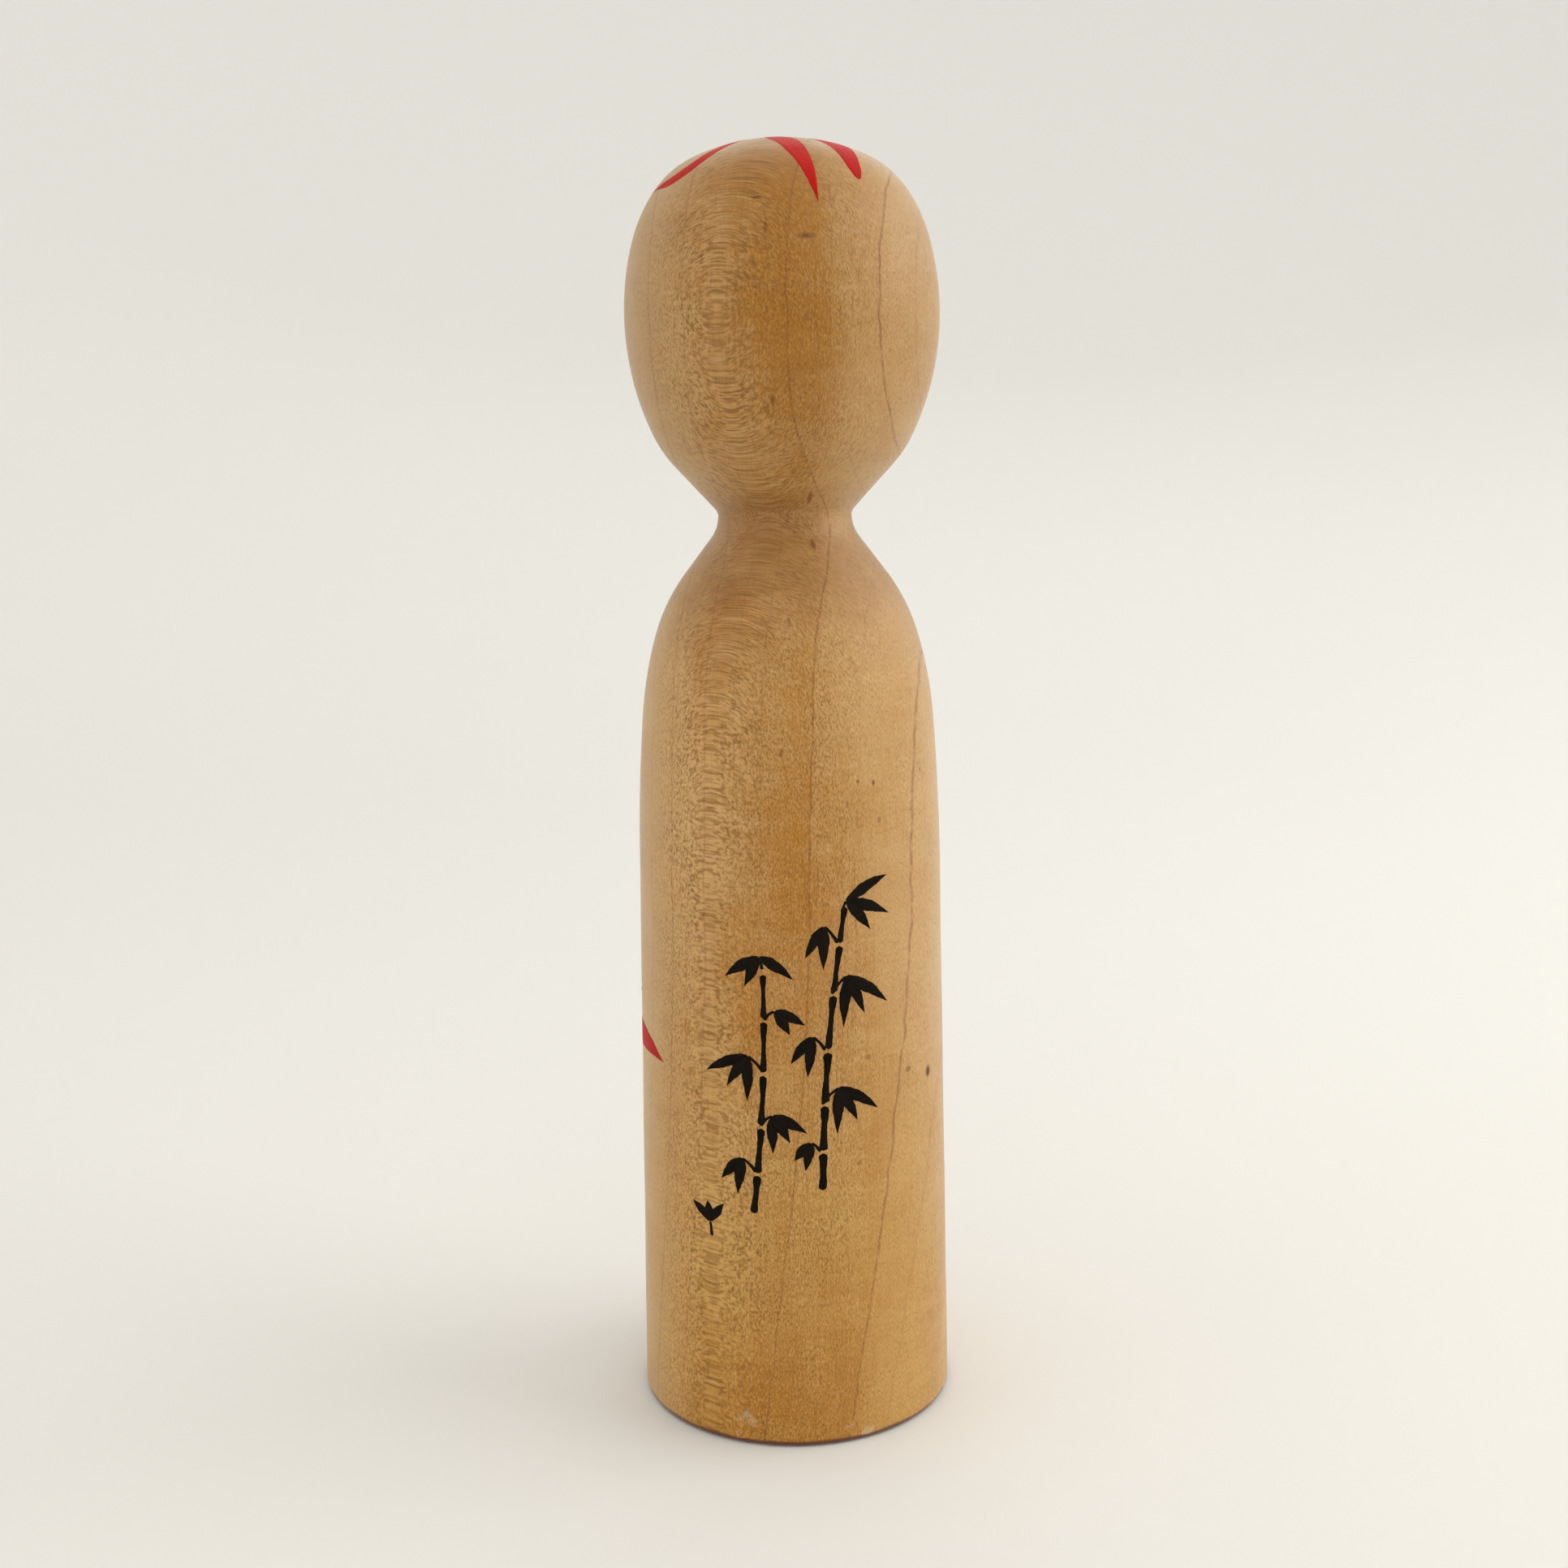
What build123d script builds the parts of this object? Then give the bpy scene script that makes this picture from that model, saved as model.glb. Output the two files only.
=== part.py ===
"""Eight-sun kokeshi doll, turned from one blank of maple and painted by brush.

The origin is the centre of the base, +Z is up and the face looks along -Y.
Left and right are the doll's own, so its left side is +X. Lengths are in mm.
"""
from build123d import *
import math
import os

os.makedirs("parts", exist_ok=True)

# ---- turned profile, as tangent runs of (length,) lines and (radius, turn) arcs
FOOT_RADIUS = 30.56
FOOT_ROUND = 1.4
DISH_RADIUS = 24.0
DISH_DEPTH = 0.6
BODY_HEADING = 90.78
BODY_RUN = [(107.6,), (400.0, 3.8), (77.5, 11.4), (37.0, 21.5), (8.0,), (7.2, -43.5)]
CREASE_DEPTH = 0.45
CREASE_RISE = 0.22
HEAD_START = (12.84, 174.45)
HEAD_HEADING = 47.2
HEAD_RUN = [(11.15,), (23.0, 17.1), (50.2, 41.2), (28.0, 19.6), (17.3, 31.1)]

# ---- paint
BARE_GAP = 0.01
FILM = 0.12
REACH = 60.0
TRUNK_RADIUS = 29.7

# ---- the forelock is drawn on a plane square to the brow of the head
BROW_TILT = 50.0
BROW_POINT = (0.0, -18.5, 235.7)

# ---- the ink bamboo is drawn on the plane of this azimuth, at the back
BAMBOO_AZIMUTH = 155.5


def rad(angle):
    return math.radians(angle)


def step_out(point, heading, offset):
    """Moves a point to the outer side of a heading."""
    return (point[0] + offset * math.sin(rad(heading)), point[1] - offset * math.cos(rad(heading)))


def run_edges(start, heading, moves, offset=0.0):
    """Edges of a tangent run moved outward by an offset, with its end and heading."""
    here = step_out(start, heading, offset)
    edges = []
    for move in moves:
        way = (math.cos(rad(heading)), math.sin(rad(heading)))
        if len(move) == 1:
            edge = Line(here, (here[0] + way[0] * move[0], here[1] + way[1] * move[0]))
        else:
            radius, turn = move
            grown = radius + offset if turn > 0 else radius - offset
            edge = JernArc(start=here, tangent=way, radius=grown, arc_size=turn)
            heading = heading + turn
        edges.append(edge)
        end = edge @ 1
        here = (end.X, end.Y)
    return edges, here, heading


def head_moves():
    """The head's run, closed level on the axis by the crown arc."""
    _, end, heading = run_edges(HEAD_START, HEAD_HEADING, HEAD_RUN)
    turn = 180.0 - heading
    return HEAD_RUN + [(end[0] / math.sin(rad(turn)), turn)]


BODY_START = (FOOT_RADIUS, FOOT_ROUND)
HEAD_MOVES = head_moves()


def spin(edges):
    """Solid of revolution about Z from edges drawn as (radius, height)."""
    face = Plane.XZ * make_face(Wire(edges))
    return revolve(face, Axis.Z, 360)


def turned_figure():
    body, neck, _ = run_edges(BODY_START, BODY_HEADING, BODY_RUN)
    head, crown, _ = run_edges(HEAD_START, HEAD_HEADING, HEAD_MOVES)
    rim = (FOOT_RADIUS - FOOT_ROUND, 0.0)
    groove = (neck[0] - CREASE_DEPTH, neck[1] + CREASE_RISE)
    top = (0.0, crown[1])
    head[-1] = ThreePointArc(head[-1] @ 0, head[-1] @ 0.5, top)
    edges = [
        Line((0.0, DISH_DEPTH), (DISH_RADIUS, 0.0)),
        Line((DISH_RADIUS, 0.0), rim),
        ThreePointArc(rim, foot_middle(), BODY_START),
        *body,
        Line(neck, groove),
        Line(groove, HEAD_START),
        *head,
        Line(top, (0.0, DISH_DEPTH)),
    ]
    return spin(edges)


def foot_middle():
    """Middle of the rounded arris at the foot."""
    inset = FOOT_ROUND * (1.0 - math.cos(rad(45)))
    return (FOOT_RADIUS - inset, inset)


def skin(start, heading, moves, closed):
    """Thin revolved layer that lies just clear of the wood."""
    inner, inner_end, _ = run_edges(start, heading, moves, BARE_GAP)
    outer, outer_end, _ = run_edges(start, heading, moves, BARE_GAP + FILM)
    if closed:
        inner_top = (0.0, inner_end[1])
        outer_top = (0.0, outer_end[1])
        inner[-1] = ThreePointArc(inner[-1] @ 0, inner[-1] @ 0.5, inner_top)
        outer[-1] = ThreePointArc(outer[-1] @ 0, outer[-1] @ 0.5, outer_top)
    else:
        inner_top = inner_end
        outer_top = outer_end
    foot = Line(inner[0] @ 0, outer[0] @ 0)
    top = Line(inner_top, outer_top)
    return spin([*inner, top, *outer, foot])


BODY_SKIN = skin(BODY_START, BODY_HEADING, BODY_RUN, closed=False)
HEAD_SKIN = skin(HEAD_START, HEAD_HEADING, HEAD_MOVES, closed=True)


# ---- brush strokes, drawn flat and carried onto a skin


def bezier(start, control, tip, count=7):
    """Points of a quadratic curve from the root of a stroke to its tip."""
    points = []
    for i in range(count):
        t = i / (count - 1)
        a, b, c = (1 - t) ** 2, 2 * t * (1 - t), t**2
        x = a * start[0] + b * control[0] + c * tip[0]
        y = a * start[1] + b * control[1] + c * tip[1]
        points.append((x, y))
    return points


def drop_widths(widest, count=9, root=0.12, belly=0.65):
    """Stroke widths that swell from the root to a belly and run out to a point."""
    widths = []
    for i in range(count):
        t = i / (count - 1)
        if t < belly:
            swell = root + (1 - root) * (t / belly) ** 1.25
        else:
            swell = math.cos(rad(90) * (t - belly) / (1 - belly)) ** 0.8
        widths.append(widest * swell if i < count - 1 else 0.0)
    return widths


def leaf_widths(widest, count=9):
    """Stroke widths of a narrow leaf that is pointed at both ends."""
    widths = [widest * math.sin(rad(180) * (i / (count - 1)) ** 0.8) for i in range(count)]
    widths[0] = 0.25 * widest
    widths[-1] = 0.0
    return widths


def stroke(points, widths):
    """Flat face of one brush stroke along points with the width at each."""
    left, right = [], []
    last = len(points) - 1
    for i, (x, y) in enumerate(points):
        before = points[max(i - 1, 0)]
        after = points[min(i + 1, last)]
        dx, dy = after[0] - before[0], after[1] - before[1]
        size = math.hypot(dx, dy)
        nx, ny = -dy / size * widths[i] / 2, dx / size * widths[i] / 2
        left.append((x + nx, y + ny))
        right.append((x - nx, y - ny))
    edges = [Spline(*left), Spline(*right[::-1])]
    if widths[-1] > 0:
        edges.insert(1, Line(left[-1], right[-1]))
    if widths[0] > 0:
        edges.append(Line(right[0], left[0]))
    return make_face(Wire(edges))


def mirrored(points):
    return [(-x, y) for x, y in points]


def facing(azimuth):
    """Upright drawing plane through the axis that looks out along an azimuth."""
    a = rad(azimuth)
    return Plane((0, 0, 0), x_dir=(math.cos(a), math.sin(a), 0), z_dir=(math.sin(a), -math.cos(a), 0))


def from_above():
    return Plane((0, 0, 200), x_dir=(1, 0, 0), z_dir=(0, 0, 1))


def brow_plane():
    t = rad(BROW_TILT)
    return Plane(BROW_POINT, x_dir=(1, 0, 0), z_dir=(0, -math.cos(t), math.sin(t)))


def paint(layer, plane, faces, start=0.0):
    """Films where the drawn faces fall on a skin, as a list of solids."""
    blanks = [extrude(plane * (Pos(0, 0, start) * face), amount=REACH) for face in faces]
    tool = blanks[0] if len(blanks) == 1 else blanks[0].fuse(*blanks[1:])
    return (layer & tool).solids()


def wrapped(points):
    """Drawing plane and flat points for a stroke given as (girth, height)."""
    middle = math.degrees((points[0][0] + points[-1][0]) / 2 / TRUNK_RADIUS)
    flat = []
    for girth, height in points:
        angle = girth / TRUNK_RADIUS - rad(middle)
        flat.append((TRUNK_RADIUS * math.sin(angle), height))
    return facing(middle), flat


def paint_wrapped(points, widths):
    plane, flat = wrapped(points)
    return paint(BODY_SKIN, plane, [stroke(flat, widths)])


# ---- red ribbon on the crown, seen from above


RIBBON_BACK_LEFT = [(3.6, 3.0), (4.8, 8.0), (4.8, 13.0), (5.0, 17.5), (4.85, 21.3), (4.7, 23.8), (4.66, 26.1)]
RIBBON_BACK_LEFT_WIDTHS = [2.4, 5.6, 5.2, 4.1, 2.8, 1.7, 0.0]
RIBBON_BACK_RIGHT = [(3.4, 3.0), (4.7, 8.0), (4.7, 13.0), (4.5, 17.0), (4.3, 20.0), (4.25, 22.4), (4.4, 24.3)]
RIBBON_BACK_RIGHT_WIDTHS = [2.4, 6.4, 6.0, 4.8, 3.5, 2.3, 0.0]
RIBBON_SIDE = [(7.8, 2.8), (11.6, 5.0), (15.2, 6.7), (18.3, 7.1), (20.9, 6.0), (22.9, 2.7), (23.6, -3.8)]
RIBBON_SIDE_WIDTHS = [1.6, 3.0, 3.7, 3.9, 3.2, 1.8, 0.0]
RIBBON_FRONT = [(7.4, -1.6), (11.0, -3.6), (14.4, -6.4), (17.4, -9.6), (19.6, -13.0), (20.9, -16.8)]
RIBBON_FRONT_WIDTHS = [1.6, 3.4, 4.4, 4.2, 2.8, 0.0]


def ribbon(points, widths, left):
    """One comma stroke on the crown, on the doll's left or right."""
    path = points if left else mirrored(points)
    return paint(HEAD_SKIN, from_above(), [stroke(path, widths)])


# ---- hair


def forelock():
    """Black fringe combed from the crown to the brow in overlapping strokes."""
    faces = []
    for k in range(-4, 5):
        lean = k / 4
        tip = (14.0 * lean, -16.4 + 2.8 * lean**2)
        path = bezier((2.2 * lean, 14.5 - abs(lean)), (12.0 * lean, 5.0), tip)
        faces.append(stroke(path, [1.5, 2.6, 3.4, 3.9, 3.9, 3.1, 0.9]))
    return paint(HEAD_SKIN, brow_plane(), faces, -REACH / 2)


SIDELOCK_AZIMUTH = 53.0


def sidelock(left):
    """Three long strokes beside the cheek that start from one root."""
    faces = []
    for k in range(3):
        path = [(-0.6 + 0.5 * k, 220.5), (-2.4 + 2.2 * k, 214.0), (-2.9 + 2.9 * k, 206.0 - k)]
        path.append((-1.6 + 2.4 * k, 196.5 + 2.0 * k))
        path = path if left else mirrored(path)
        faces.append(stroke(path, [1.5, 2.5, 2.3, 0.0]))
    azimuth = SIDELOCK_AZIMUTH if left else -SIDELOCK_AZIMUTH
    return paint(HEAD_SKIN, facing(azimuth), faces)


# ---- face, drawn on the front plane


def on_face(strokes, left=True):
    faces = [stroke(p if left else mirrored(p), w) for p, w in strokes]
    return paint(HEAD_SKIN, facing(0), faces)


BROW = ([(4.4, 212.4), (8.2, 214.3), (12.2, 214.0), (15.6, 211.9)], [0.5, 1.1, 1.0, 0.0])
UPPER_LID = ([(4.6, 204.9), (7.8, 207.0), (11.4, 206.9), (14.8, 204.4)], [0.4, 1.0, 0.9, 0.0])
LOWER_LID = ([(6.4, 204.3), (9.4, 203.6), (12.4, 204.5)], [0.3, 0.6, 0.0])
PUPIL = ([(9.3, 203.7), (9.35, 205.2), (9.4, 206.8)], [1.0, 2.2, 1.2])
NOSE = ([(-1.7, 200.6), (-1.1, 198.9), (0.0, 198.4), (1.1, 198.9), (1.7, 200.6)], [0.3, 0.6, 0.7, 0.6, 0.0])
UPPER_LIP = ([(-2.5, 193.5), (0.0, 194.5), (2.5, 193.5)], [0.4, 1.0, 0.0])
LOWER_LIP = ([(-1.7, 192.5), (0.0, 191.9), (1.7, 192.5)], [0.3, 0.8, 0.0])


# ---- collar of the robe


COLLAR = ([(11.2, 167.0), (8.4, 161.0), (4.0, 153.2), (-2.4, 145.6)], [1.4, 2.2, 2.2, 0.9])
COLLAR_LINE = ([(13.9, 163.6), (11.0, 156.8), (6.6, 149.2), (0.9, 141.9)], [0.7, 1.1, 1.1, 0.0])


def collar(left):
    faces = [stroke(p if left else mirrored(p), w) for p, w in (COLLAR, COLLAR_LINE)]
    return paint(BODY_SKIN, facing(0), faces)


def cut_from(solids, cutters):
    """Solids with another film's area taken out, so that the films do not share space."""
    left = []
    for solid in solids:
        left.extend(solid.cut(*cutters).solids())
    return left


# ---- chrysanthemums and leaves on the robe, as (girth, height) strokes


UPPER_PETALS = [
    ((1.5, 108.0), (4.8, 125.0), (12.2, 135.5), 5.4),
    ((2.8, 106.8), (11.4, 124.0), (22.0, 129.5), 5.2),
    ((3.8, 105.0), (18.5, 119.0), (30.5, 117.0), 4.8),
]
UPPER_CENTRE = ((0.0, 108.6), (0.0, 122.0), (0.0, 138.5), 5.6)
LOWER_PETALS = [
    ((1.7, 62.6), (4.6, 80.0), (13.4, 93.0), 6.2),
    ((3.2, 61.4), (12.0, 81.0), (26.0, 88.5), 6.0),
    ((4.5, 59.4), (20.5, 78.5), (36.0, 82.0), 5.0),
]
LOWER_CENTRE = ((0.0, 63.2), (0.0, 78.0), (0.0, 96.0), 6.4)
LONG_PETAL = ((5.2, 56.4), (29.0, 81.0), (51.6, 71.4), 5.6)
UPPER_LEAVES = [
    ((4.6, 100.5), (17.0, 110.0), (27.5, 104.0), 2.6),
    ((3.6, 98.2), (15.0, 103.5), (24.0, 96.5), 2.4),
]
LOWER_LEAVES = [
    ((4.6, 48.5), (22.0, 62.0), (35.5, 55.5), 3.2),
    ((3.8, 44.5), (19.0, 50.5), (31.5, 41.5), 3.0),
    ((2.8, 40.5), (12.5, 41.5), (21.5, 30.0), 2.8),
]
STEM = [(0.0, 49.5), (0.7, 38.0), (-0.4, 26.0), (0.3, 13.0)]
STEM_WIDTHS = [1.8, 1.4, 1.3, 0.6]
GRASS = [((1.5, 12.0), (7.0, 17.5), (14.5, 21.5), 2.0), ((2.4, 9.5), (10.0, 12.0), (20.5, 12.5), 2.0)]


def pairs(strokes, widths_of):
    """Each stroke and its mirror image, painted on the trunk."""
    films = []
    for start, control, tip, widest in strokes:
        path = bezier(start, control, tip, 9)
        for side in (path, mirrored(path)):
            films.extend(paint_wrapped(side, widths_of(widest)))
    return films


def single(strokes, widths_of):
    films = []
    for start, control, tip, widest in strokes:
        films.extend(paint_wrapped(bezier(start, control, tip, 9), widths_of(widest)))
    return films


def long_petal(left):
    """The widest petal, whose tip passes the side and shows from behind."""
    start, control, tip, widest = LONG_PETAL
    path = bezier(start, control, tip, 9)
    path = path if left else mirrored(path)
    return paint_wrapped(path, drop_widths(widest))


# ---- ink bamboo at the back


def culm(foot, top, bow, joints, width):
    """Slender cane of strokes parted at the joints, given as shares of its height."""
    faces = []
    for low, high in zip(joints, joints[1:]):
        path = []
        for share in (low, (low + high) / 2, low + (high - low) * 0.94):
            x = foot[0] + (top[0] - foot[0]) * share + bow * math.sin(rad(180) * share)
            path.append((x, foot[1] + (top[1] - foot[1]) * share))
        thin = width * (1 - 0.35 * high)
        faces.append(stroke(path, [thin * 1.05, thin * 0.7, thin * 1.15]))
    return faces


def twig(root, angle, length, leaves, reach, width=2.1):
    """Thin twig that rises from the cane with leaves hanging from its end."""
    end = (root[0] + length * math.cos(rad(angle)), root[1] + length * math.sin(rad(angle)))
    middle = ((root[0] + end[0]) / 2, (root[1] + end[1]) / 2 + 0.3)
    faces = [stroke([root, middle, end], [0.8, 0.5, 0.6])]
    for k, way in enumerate(leaves):
        size = reach * (1.0 - 0.16 * (k % 2))
        tip = (end[0] + size * math.cos(rad(way)), end[1] + size * math.sin(rad(way)))
        bend = ((end[0] + tip[0]) / 2, (end[1] + tip[1]) / 2 + 0.10 * size)
        faces.append(stroke(bezier(end, bend, tip, 7), leaf_widths(width, 7)))
    return faces


def bamboo_tall():
    faces = culm((5.2, 50.5), (9.4, 101.0), -0.9, [0.0, 0.15, 0.33, 0.53, 0.74, 0.92, 1.06], 1.9)
    faces += twig((9.3, 102.5), 70, 2.2, [-22, -52, 28], 8.6)
    faces += twig((8.5, 97.0), 128, 4.0, [268, 238], 8.0)
    faces += twig((7.2, 87.6), 48, 4.2, [-38, -66, -94], 9.6)
    faces += twig((6.0, 77.2), 132, 3.4, [262, 230], 7.6)
    faces += twig((5.2, 67.0), 42, 4.2, [-34, -62, -92], 8.8)
    faces += twig((4.9, 58.0), 136, 2.4, [258, 226], 5.4)
    return paint(BODY_SKIN, facing(BAMBOO_AZIMUTH), faces)


def bamboo_short():
    faces = culm((-7.6, 46.0), (-5.2, 92.0), 0.8, [0.0, 0.17, 0.37, 0.59, 0.81, 1.0], 1.7)
    faces += twig((-5.3, 92.4), 104, 2.4, [212, 244, -34], 7.4)
    faces += twig((-5.2, 83.0), 40, 2.6, [-26, -58], 6.2)
    faces += twig((-5.4, 73.2), 134, 4.0, [268, 236, 204], 8.6)
    faces += twig((-6.2, 63.0), 40, 3.0, [-28, -58, -90], 7.2)
    faces += twig((-7.0, 54.0), 136, 3.6, [262, 228], 7.0)
    return paint(BODY_SKIN, facing(BAMBOO_AZIMUTH), faces)


def bamboo_shoot():
    faces = twig((-15.6, 40.4), 96, 2.8, [56, 96, 134], 4.8, 1.6)
    return paint(BODY_SKIN, facing(BAMBOO_AZIMUTH), faces)


# ---- output


def save(shape, node):
    """Writes one node, from a solid or from a list of solids."""
    if isinstance(shape, list):
        shape = shape[0] if len(shape) == 1 else Compound(children=shape)
    shape.label = node
    export_step(shape, "parts/" + node + ".step")


save(turned_figure(), "turned_figure")
for side in ("left", "right"):
    is_left = side == "left"
    save(ribbon(RIBBON_SIDE, RIBBON_SIDE_WIDTHS, is_left), "crown_ribbon_side_" + side)
    save(ribbon(RIBBON_FRONT, RIBBON_FRONT_WIDTHS, is_left), "crown_ribbon_front_" + side)
    save(sidelock(is_left), "sidelock_" + side)
    save(on_face([BROW], is_left), "brow_" + side)
    save(on_face([UPPER_LID, LOWER_LID, PUPIL], is_left), "eye_" + side)
    save(long_petal(is_left), "long_petal_" + side)
save(ribbon(RIBBON_BACK_LEFT, RIBBON_BACK_LEFT_WIDTHS, True), "crown_ribbon_back_left")
save(ribbon(RIBBON_BACK_RIGHT, RIBBON_BACK_RIGHT_WIDTHS, False), "crown_ribbon_back_right")
save(forelock(), "forelock")
save(on_face([NOSE]), "nose")
save(on_face([UPPER_LIP, LOWER_LIP]), "mouth")
over = collar(True)
save(over, "collar_left")
save(cut_from(collar(False), over), "collar_right")
save(pairs(UPPER_PETALS, drop_widths) + single([UPPER_CENTRE], drop_widths), "upper_bloom")
save(pairs(LOWER_PETALS, drop_widths) + single([LOWER_CENTRE], drop_widths), "lower_bloom")
save(pairs(UPPER_LEAVES, leaf_widths), "upper_leaves")
save(pairs(LOWER_LEAVES, leaf_widths), "lower_leaves")
save(pairs(GRASS, leaf_widths), "grass")
save(paint_wrapped(STEM, STEM_WIDTHS), "stem")
save(bamboo_tall(), "bamboo_tall")
save(bamboo_short(), "bamboo_short")
save(bamboo_shoot(), "bamboo_shoot")
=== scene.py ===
"""Turned maple kokeshi doll: lathe-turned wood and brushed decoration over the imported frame.

Lengths are in millimetres, except in the camera and the studio, which are in metres.
Azimuths are in degrees from the front, towards the doll's own left, unless a function
says otherwise. The axis of the doll is Z.
"""
import math
import random

import bpy
import numpy as np
from mathutils import Matrix, Vector


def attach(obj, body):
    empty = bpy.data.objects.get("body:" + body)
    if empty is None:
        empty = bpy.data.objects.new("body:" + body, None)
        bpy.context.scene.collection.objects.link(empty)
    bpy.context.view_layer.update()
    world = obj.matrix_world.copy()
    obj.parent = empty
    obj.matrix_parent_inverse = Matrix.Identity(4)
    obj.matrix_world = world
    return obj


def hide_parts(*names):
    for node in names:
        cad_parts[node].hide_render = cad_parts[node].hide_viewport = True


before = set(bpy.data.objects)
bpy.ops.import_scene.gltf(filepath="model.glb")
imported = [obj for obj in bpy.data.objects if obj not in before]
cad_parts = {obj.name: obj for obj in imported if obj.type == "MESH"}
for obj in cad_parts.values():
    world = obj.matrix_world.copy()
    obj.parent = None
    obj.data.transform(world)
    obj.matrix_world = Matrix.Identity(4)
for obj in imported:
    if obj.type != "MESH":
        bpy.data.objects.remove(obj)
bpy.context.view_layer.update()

MM = 0.001

# ---------------------------------------------------------------- turned profile
# A run is a list of lines (length,) and tangent arcs (radius, turn in degrees).
FOOT_RADIUS = 30.56
FOOT_ROUND = 1.4
FOOT_STEPS = 8
FOOT_LAND = 2.0
DISH_DEPTH = 0.6
# Radius, and share of the depth of the dish turned into the base.
DISH_PROFILE = [(0.0, 1.0), (6.0, 0.75), (14.0, 0.42), (24.0, 0.0)]
BODY_HEADING = 90.78
BODY_RUN = [(107.6,), (400.0, 3.8), (77.5, 11.4), (37.0, 21.5), (8.0,), (7.2, -43.5)]
HEAD_START = (12.84, 174.45)
HEAD_HEADING = 47.2
HEAD_RUN = [(11.15,), (23.0, 17.1), (50.2, 41.2), (28.0, 19.6), (17.3, 31.1)]
# Share of the first step on each side of the neck corner that is worn round.
CORNER_EASE = 0.18

# The wood's mesh: faces round the axis, and the step along the outline.
SEGMENTS = 256
ROW_STEP = 0.8
# Height and spread of the turning rings at the neck and under the chin.
NECK_RINGS = (171.0, 7.0)
CHIN_RINGS = (179.0, 4.0)
# The small unevenness of the wood fades out towards the axis and the foot.
UNEVEN_RADIUS = 12.0
UNEVEN_HEIGHT = 1.0

# ---------------------------------------------------------------- drawing
TRUNK_RADIUS = 29.7
BROW_TILT = 50.0
BROW_POINT = (0.0, -18.5, 235.7)
# The side that the photo shows, which the ink bamboo and the camera face.
BACK_AZIMUTH = 155.5
# Nearest and farthest that the wood can lie along the way out of each kind of drawing plane.
REACH_FROM_ABOVE = (180.0, 250.0)
REACH_FACING = (0.0, 60.0)
REACH_TILTED = (-16.0, 60.0)
HALVINGS = 44
SLOPE_STEP = 0.02
PATH_SAMPLES = 400
# Waves of a stroke's uneven edge in radians per mm, how far its rim sinks, and the lift of each next stroke.
EDGE_WAVES = (0.9, 2.1, 4.3, 7.7)
RIM_SINK = 0.012
LAYER_LIFT = 0.004

# ---------------------------------------------------------------- the tree
PITH = (63.85, -40.75)
PITH_REACH = math.hypot(*PITH)
TO_DOLL = (-PITH[0] / PITH_REACH, -PITH[1] / PITH_REACH)
# Distance from the pith at which girth is measured, and how far the stem leans aside at the head.
GIRTH_RADIUS = 76.0
STEM_LEAN = 10.5
# Shift of the year lines: it grows to FOOT_TAPER at the foot and to HEAD_TAPER on the head.
FOOT_TAPER_FROM = 100.0
FOOT_TAPER_RUN = 88.0
FOOT_TAPER_POWER = 1.5
FOOT_TAPER = -7.0
HEAD_TAPER = -5.2
# Noise frequencies per mm: along the girth, up the stem and out from the pith.
WEAVE = (0.02, 0.11, 0.03)
SHIVER = (0.3, 0.6, 0.1)
COARSE_RAYS = (1 / 0.105, 1 / 0.68, 1 / 14.0)
FINE_RAYS = (1 / 0.07, 1 / 0.62, 1 / 9.0)
FIBRE = (2.6, 0.09, 2.6)
CLOUD = (0.055, 0.018, 0.055)
# Noise frequencies per mm along X, Y and Z.
CURL = (0.09, 0.09, 0.42)
RUB = (0.16, 0.16, 0.22)
GRIT = (3.2, 3.2, 1.5)


def rad(angle):
    return math.radians(angle)


def run_points(start, heading, moves, step):
    """Points of a run of lines and tangent arcs, and its heading at the end."""
    here = np.array(start, float)
    points = [here.copy()]
    for move in moves:
        way = np.array([math.cos(rad(heading)), math.sin(rad(heading))])
        if len(move) == 1:
            count = max(2, round(move[0] / step))
            for k in range(1, count + 1):
                points.append(here + way * move[0] * k / count)
        else:
            radius, turn = move
            sign = 1 if turn > 0 else -1
            centre = here + radius * sign * np.array([-way[1], way[0]])
            arm = here - centre
            count = max(3, round(radius * rad(abs(turn)) / step))
            for k in range(1, count + 1):
                angle = rad(turn * k / count)
                turned = np.array([arm[0] * math.cos(angle) - arm[1] * math.sin(angle),
                                   arm[0] * math.sin(angle) + arm[1] * math.cos(angle)])
                points.append(centre + turned)
            heading += turn
        here = points[-1].copy()
    return np.array(points), heading


def body_outline(step):
    """Radius and height of points from the foot round to the neck corner."""
    return run_points((FOOT_RADIUS, FOOT_ROUND), BODY_HEADING, BODY_RUN, step)[0]


def head_outline(step):
    """Radius and height of points from the neck corner to the middle of the crown."""
    points, heading = run_points(HEAD_START, HEAD_HEADING, HEAD_RUN, step)
    turn = 180.0 - heading
    crown = (points[-1][0] / math.sin(rad(turn)), turn)
    points, _ = run_points(HEAD_START, HEAD_HEADING, HEAD_RUN + [crown], step)
    points[-1][0] = 0.0
    return points


FINE_BODY = body_outline(0.1)
FINE_HEAD = head_outline(0.05)
TOP = FINE_HEAD[-1][1]
OUTLINE = np.vstack([[[FOOT_RADIUS - FOOT_ROUND, 0.0]], FINE_BODY, FINE_HEAD])


def radius_at(z):
    """Radius of the turned surface at a height, and below zero above the crown."""
    z = np.asarray(z, float)
    r = np.interp(z, OUTLINE[:, 1], OUTLINE[:, 0])
    return np.where(z > TOP, TOP - z, r)


def swell(azimuth, z):
    """Small departure from round that seasoned wood takes, at an azimuth in radians."""
    oval = 0.07 * np.cos(2 * (azimuth - rad(57.5)))
    ripple = 0.02 * np.sin(0.19 * z + 3 * azimuth)
    return oval + ripple


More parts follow.
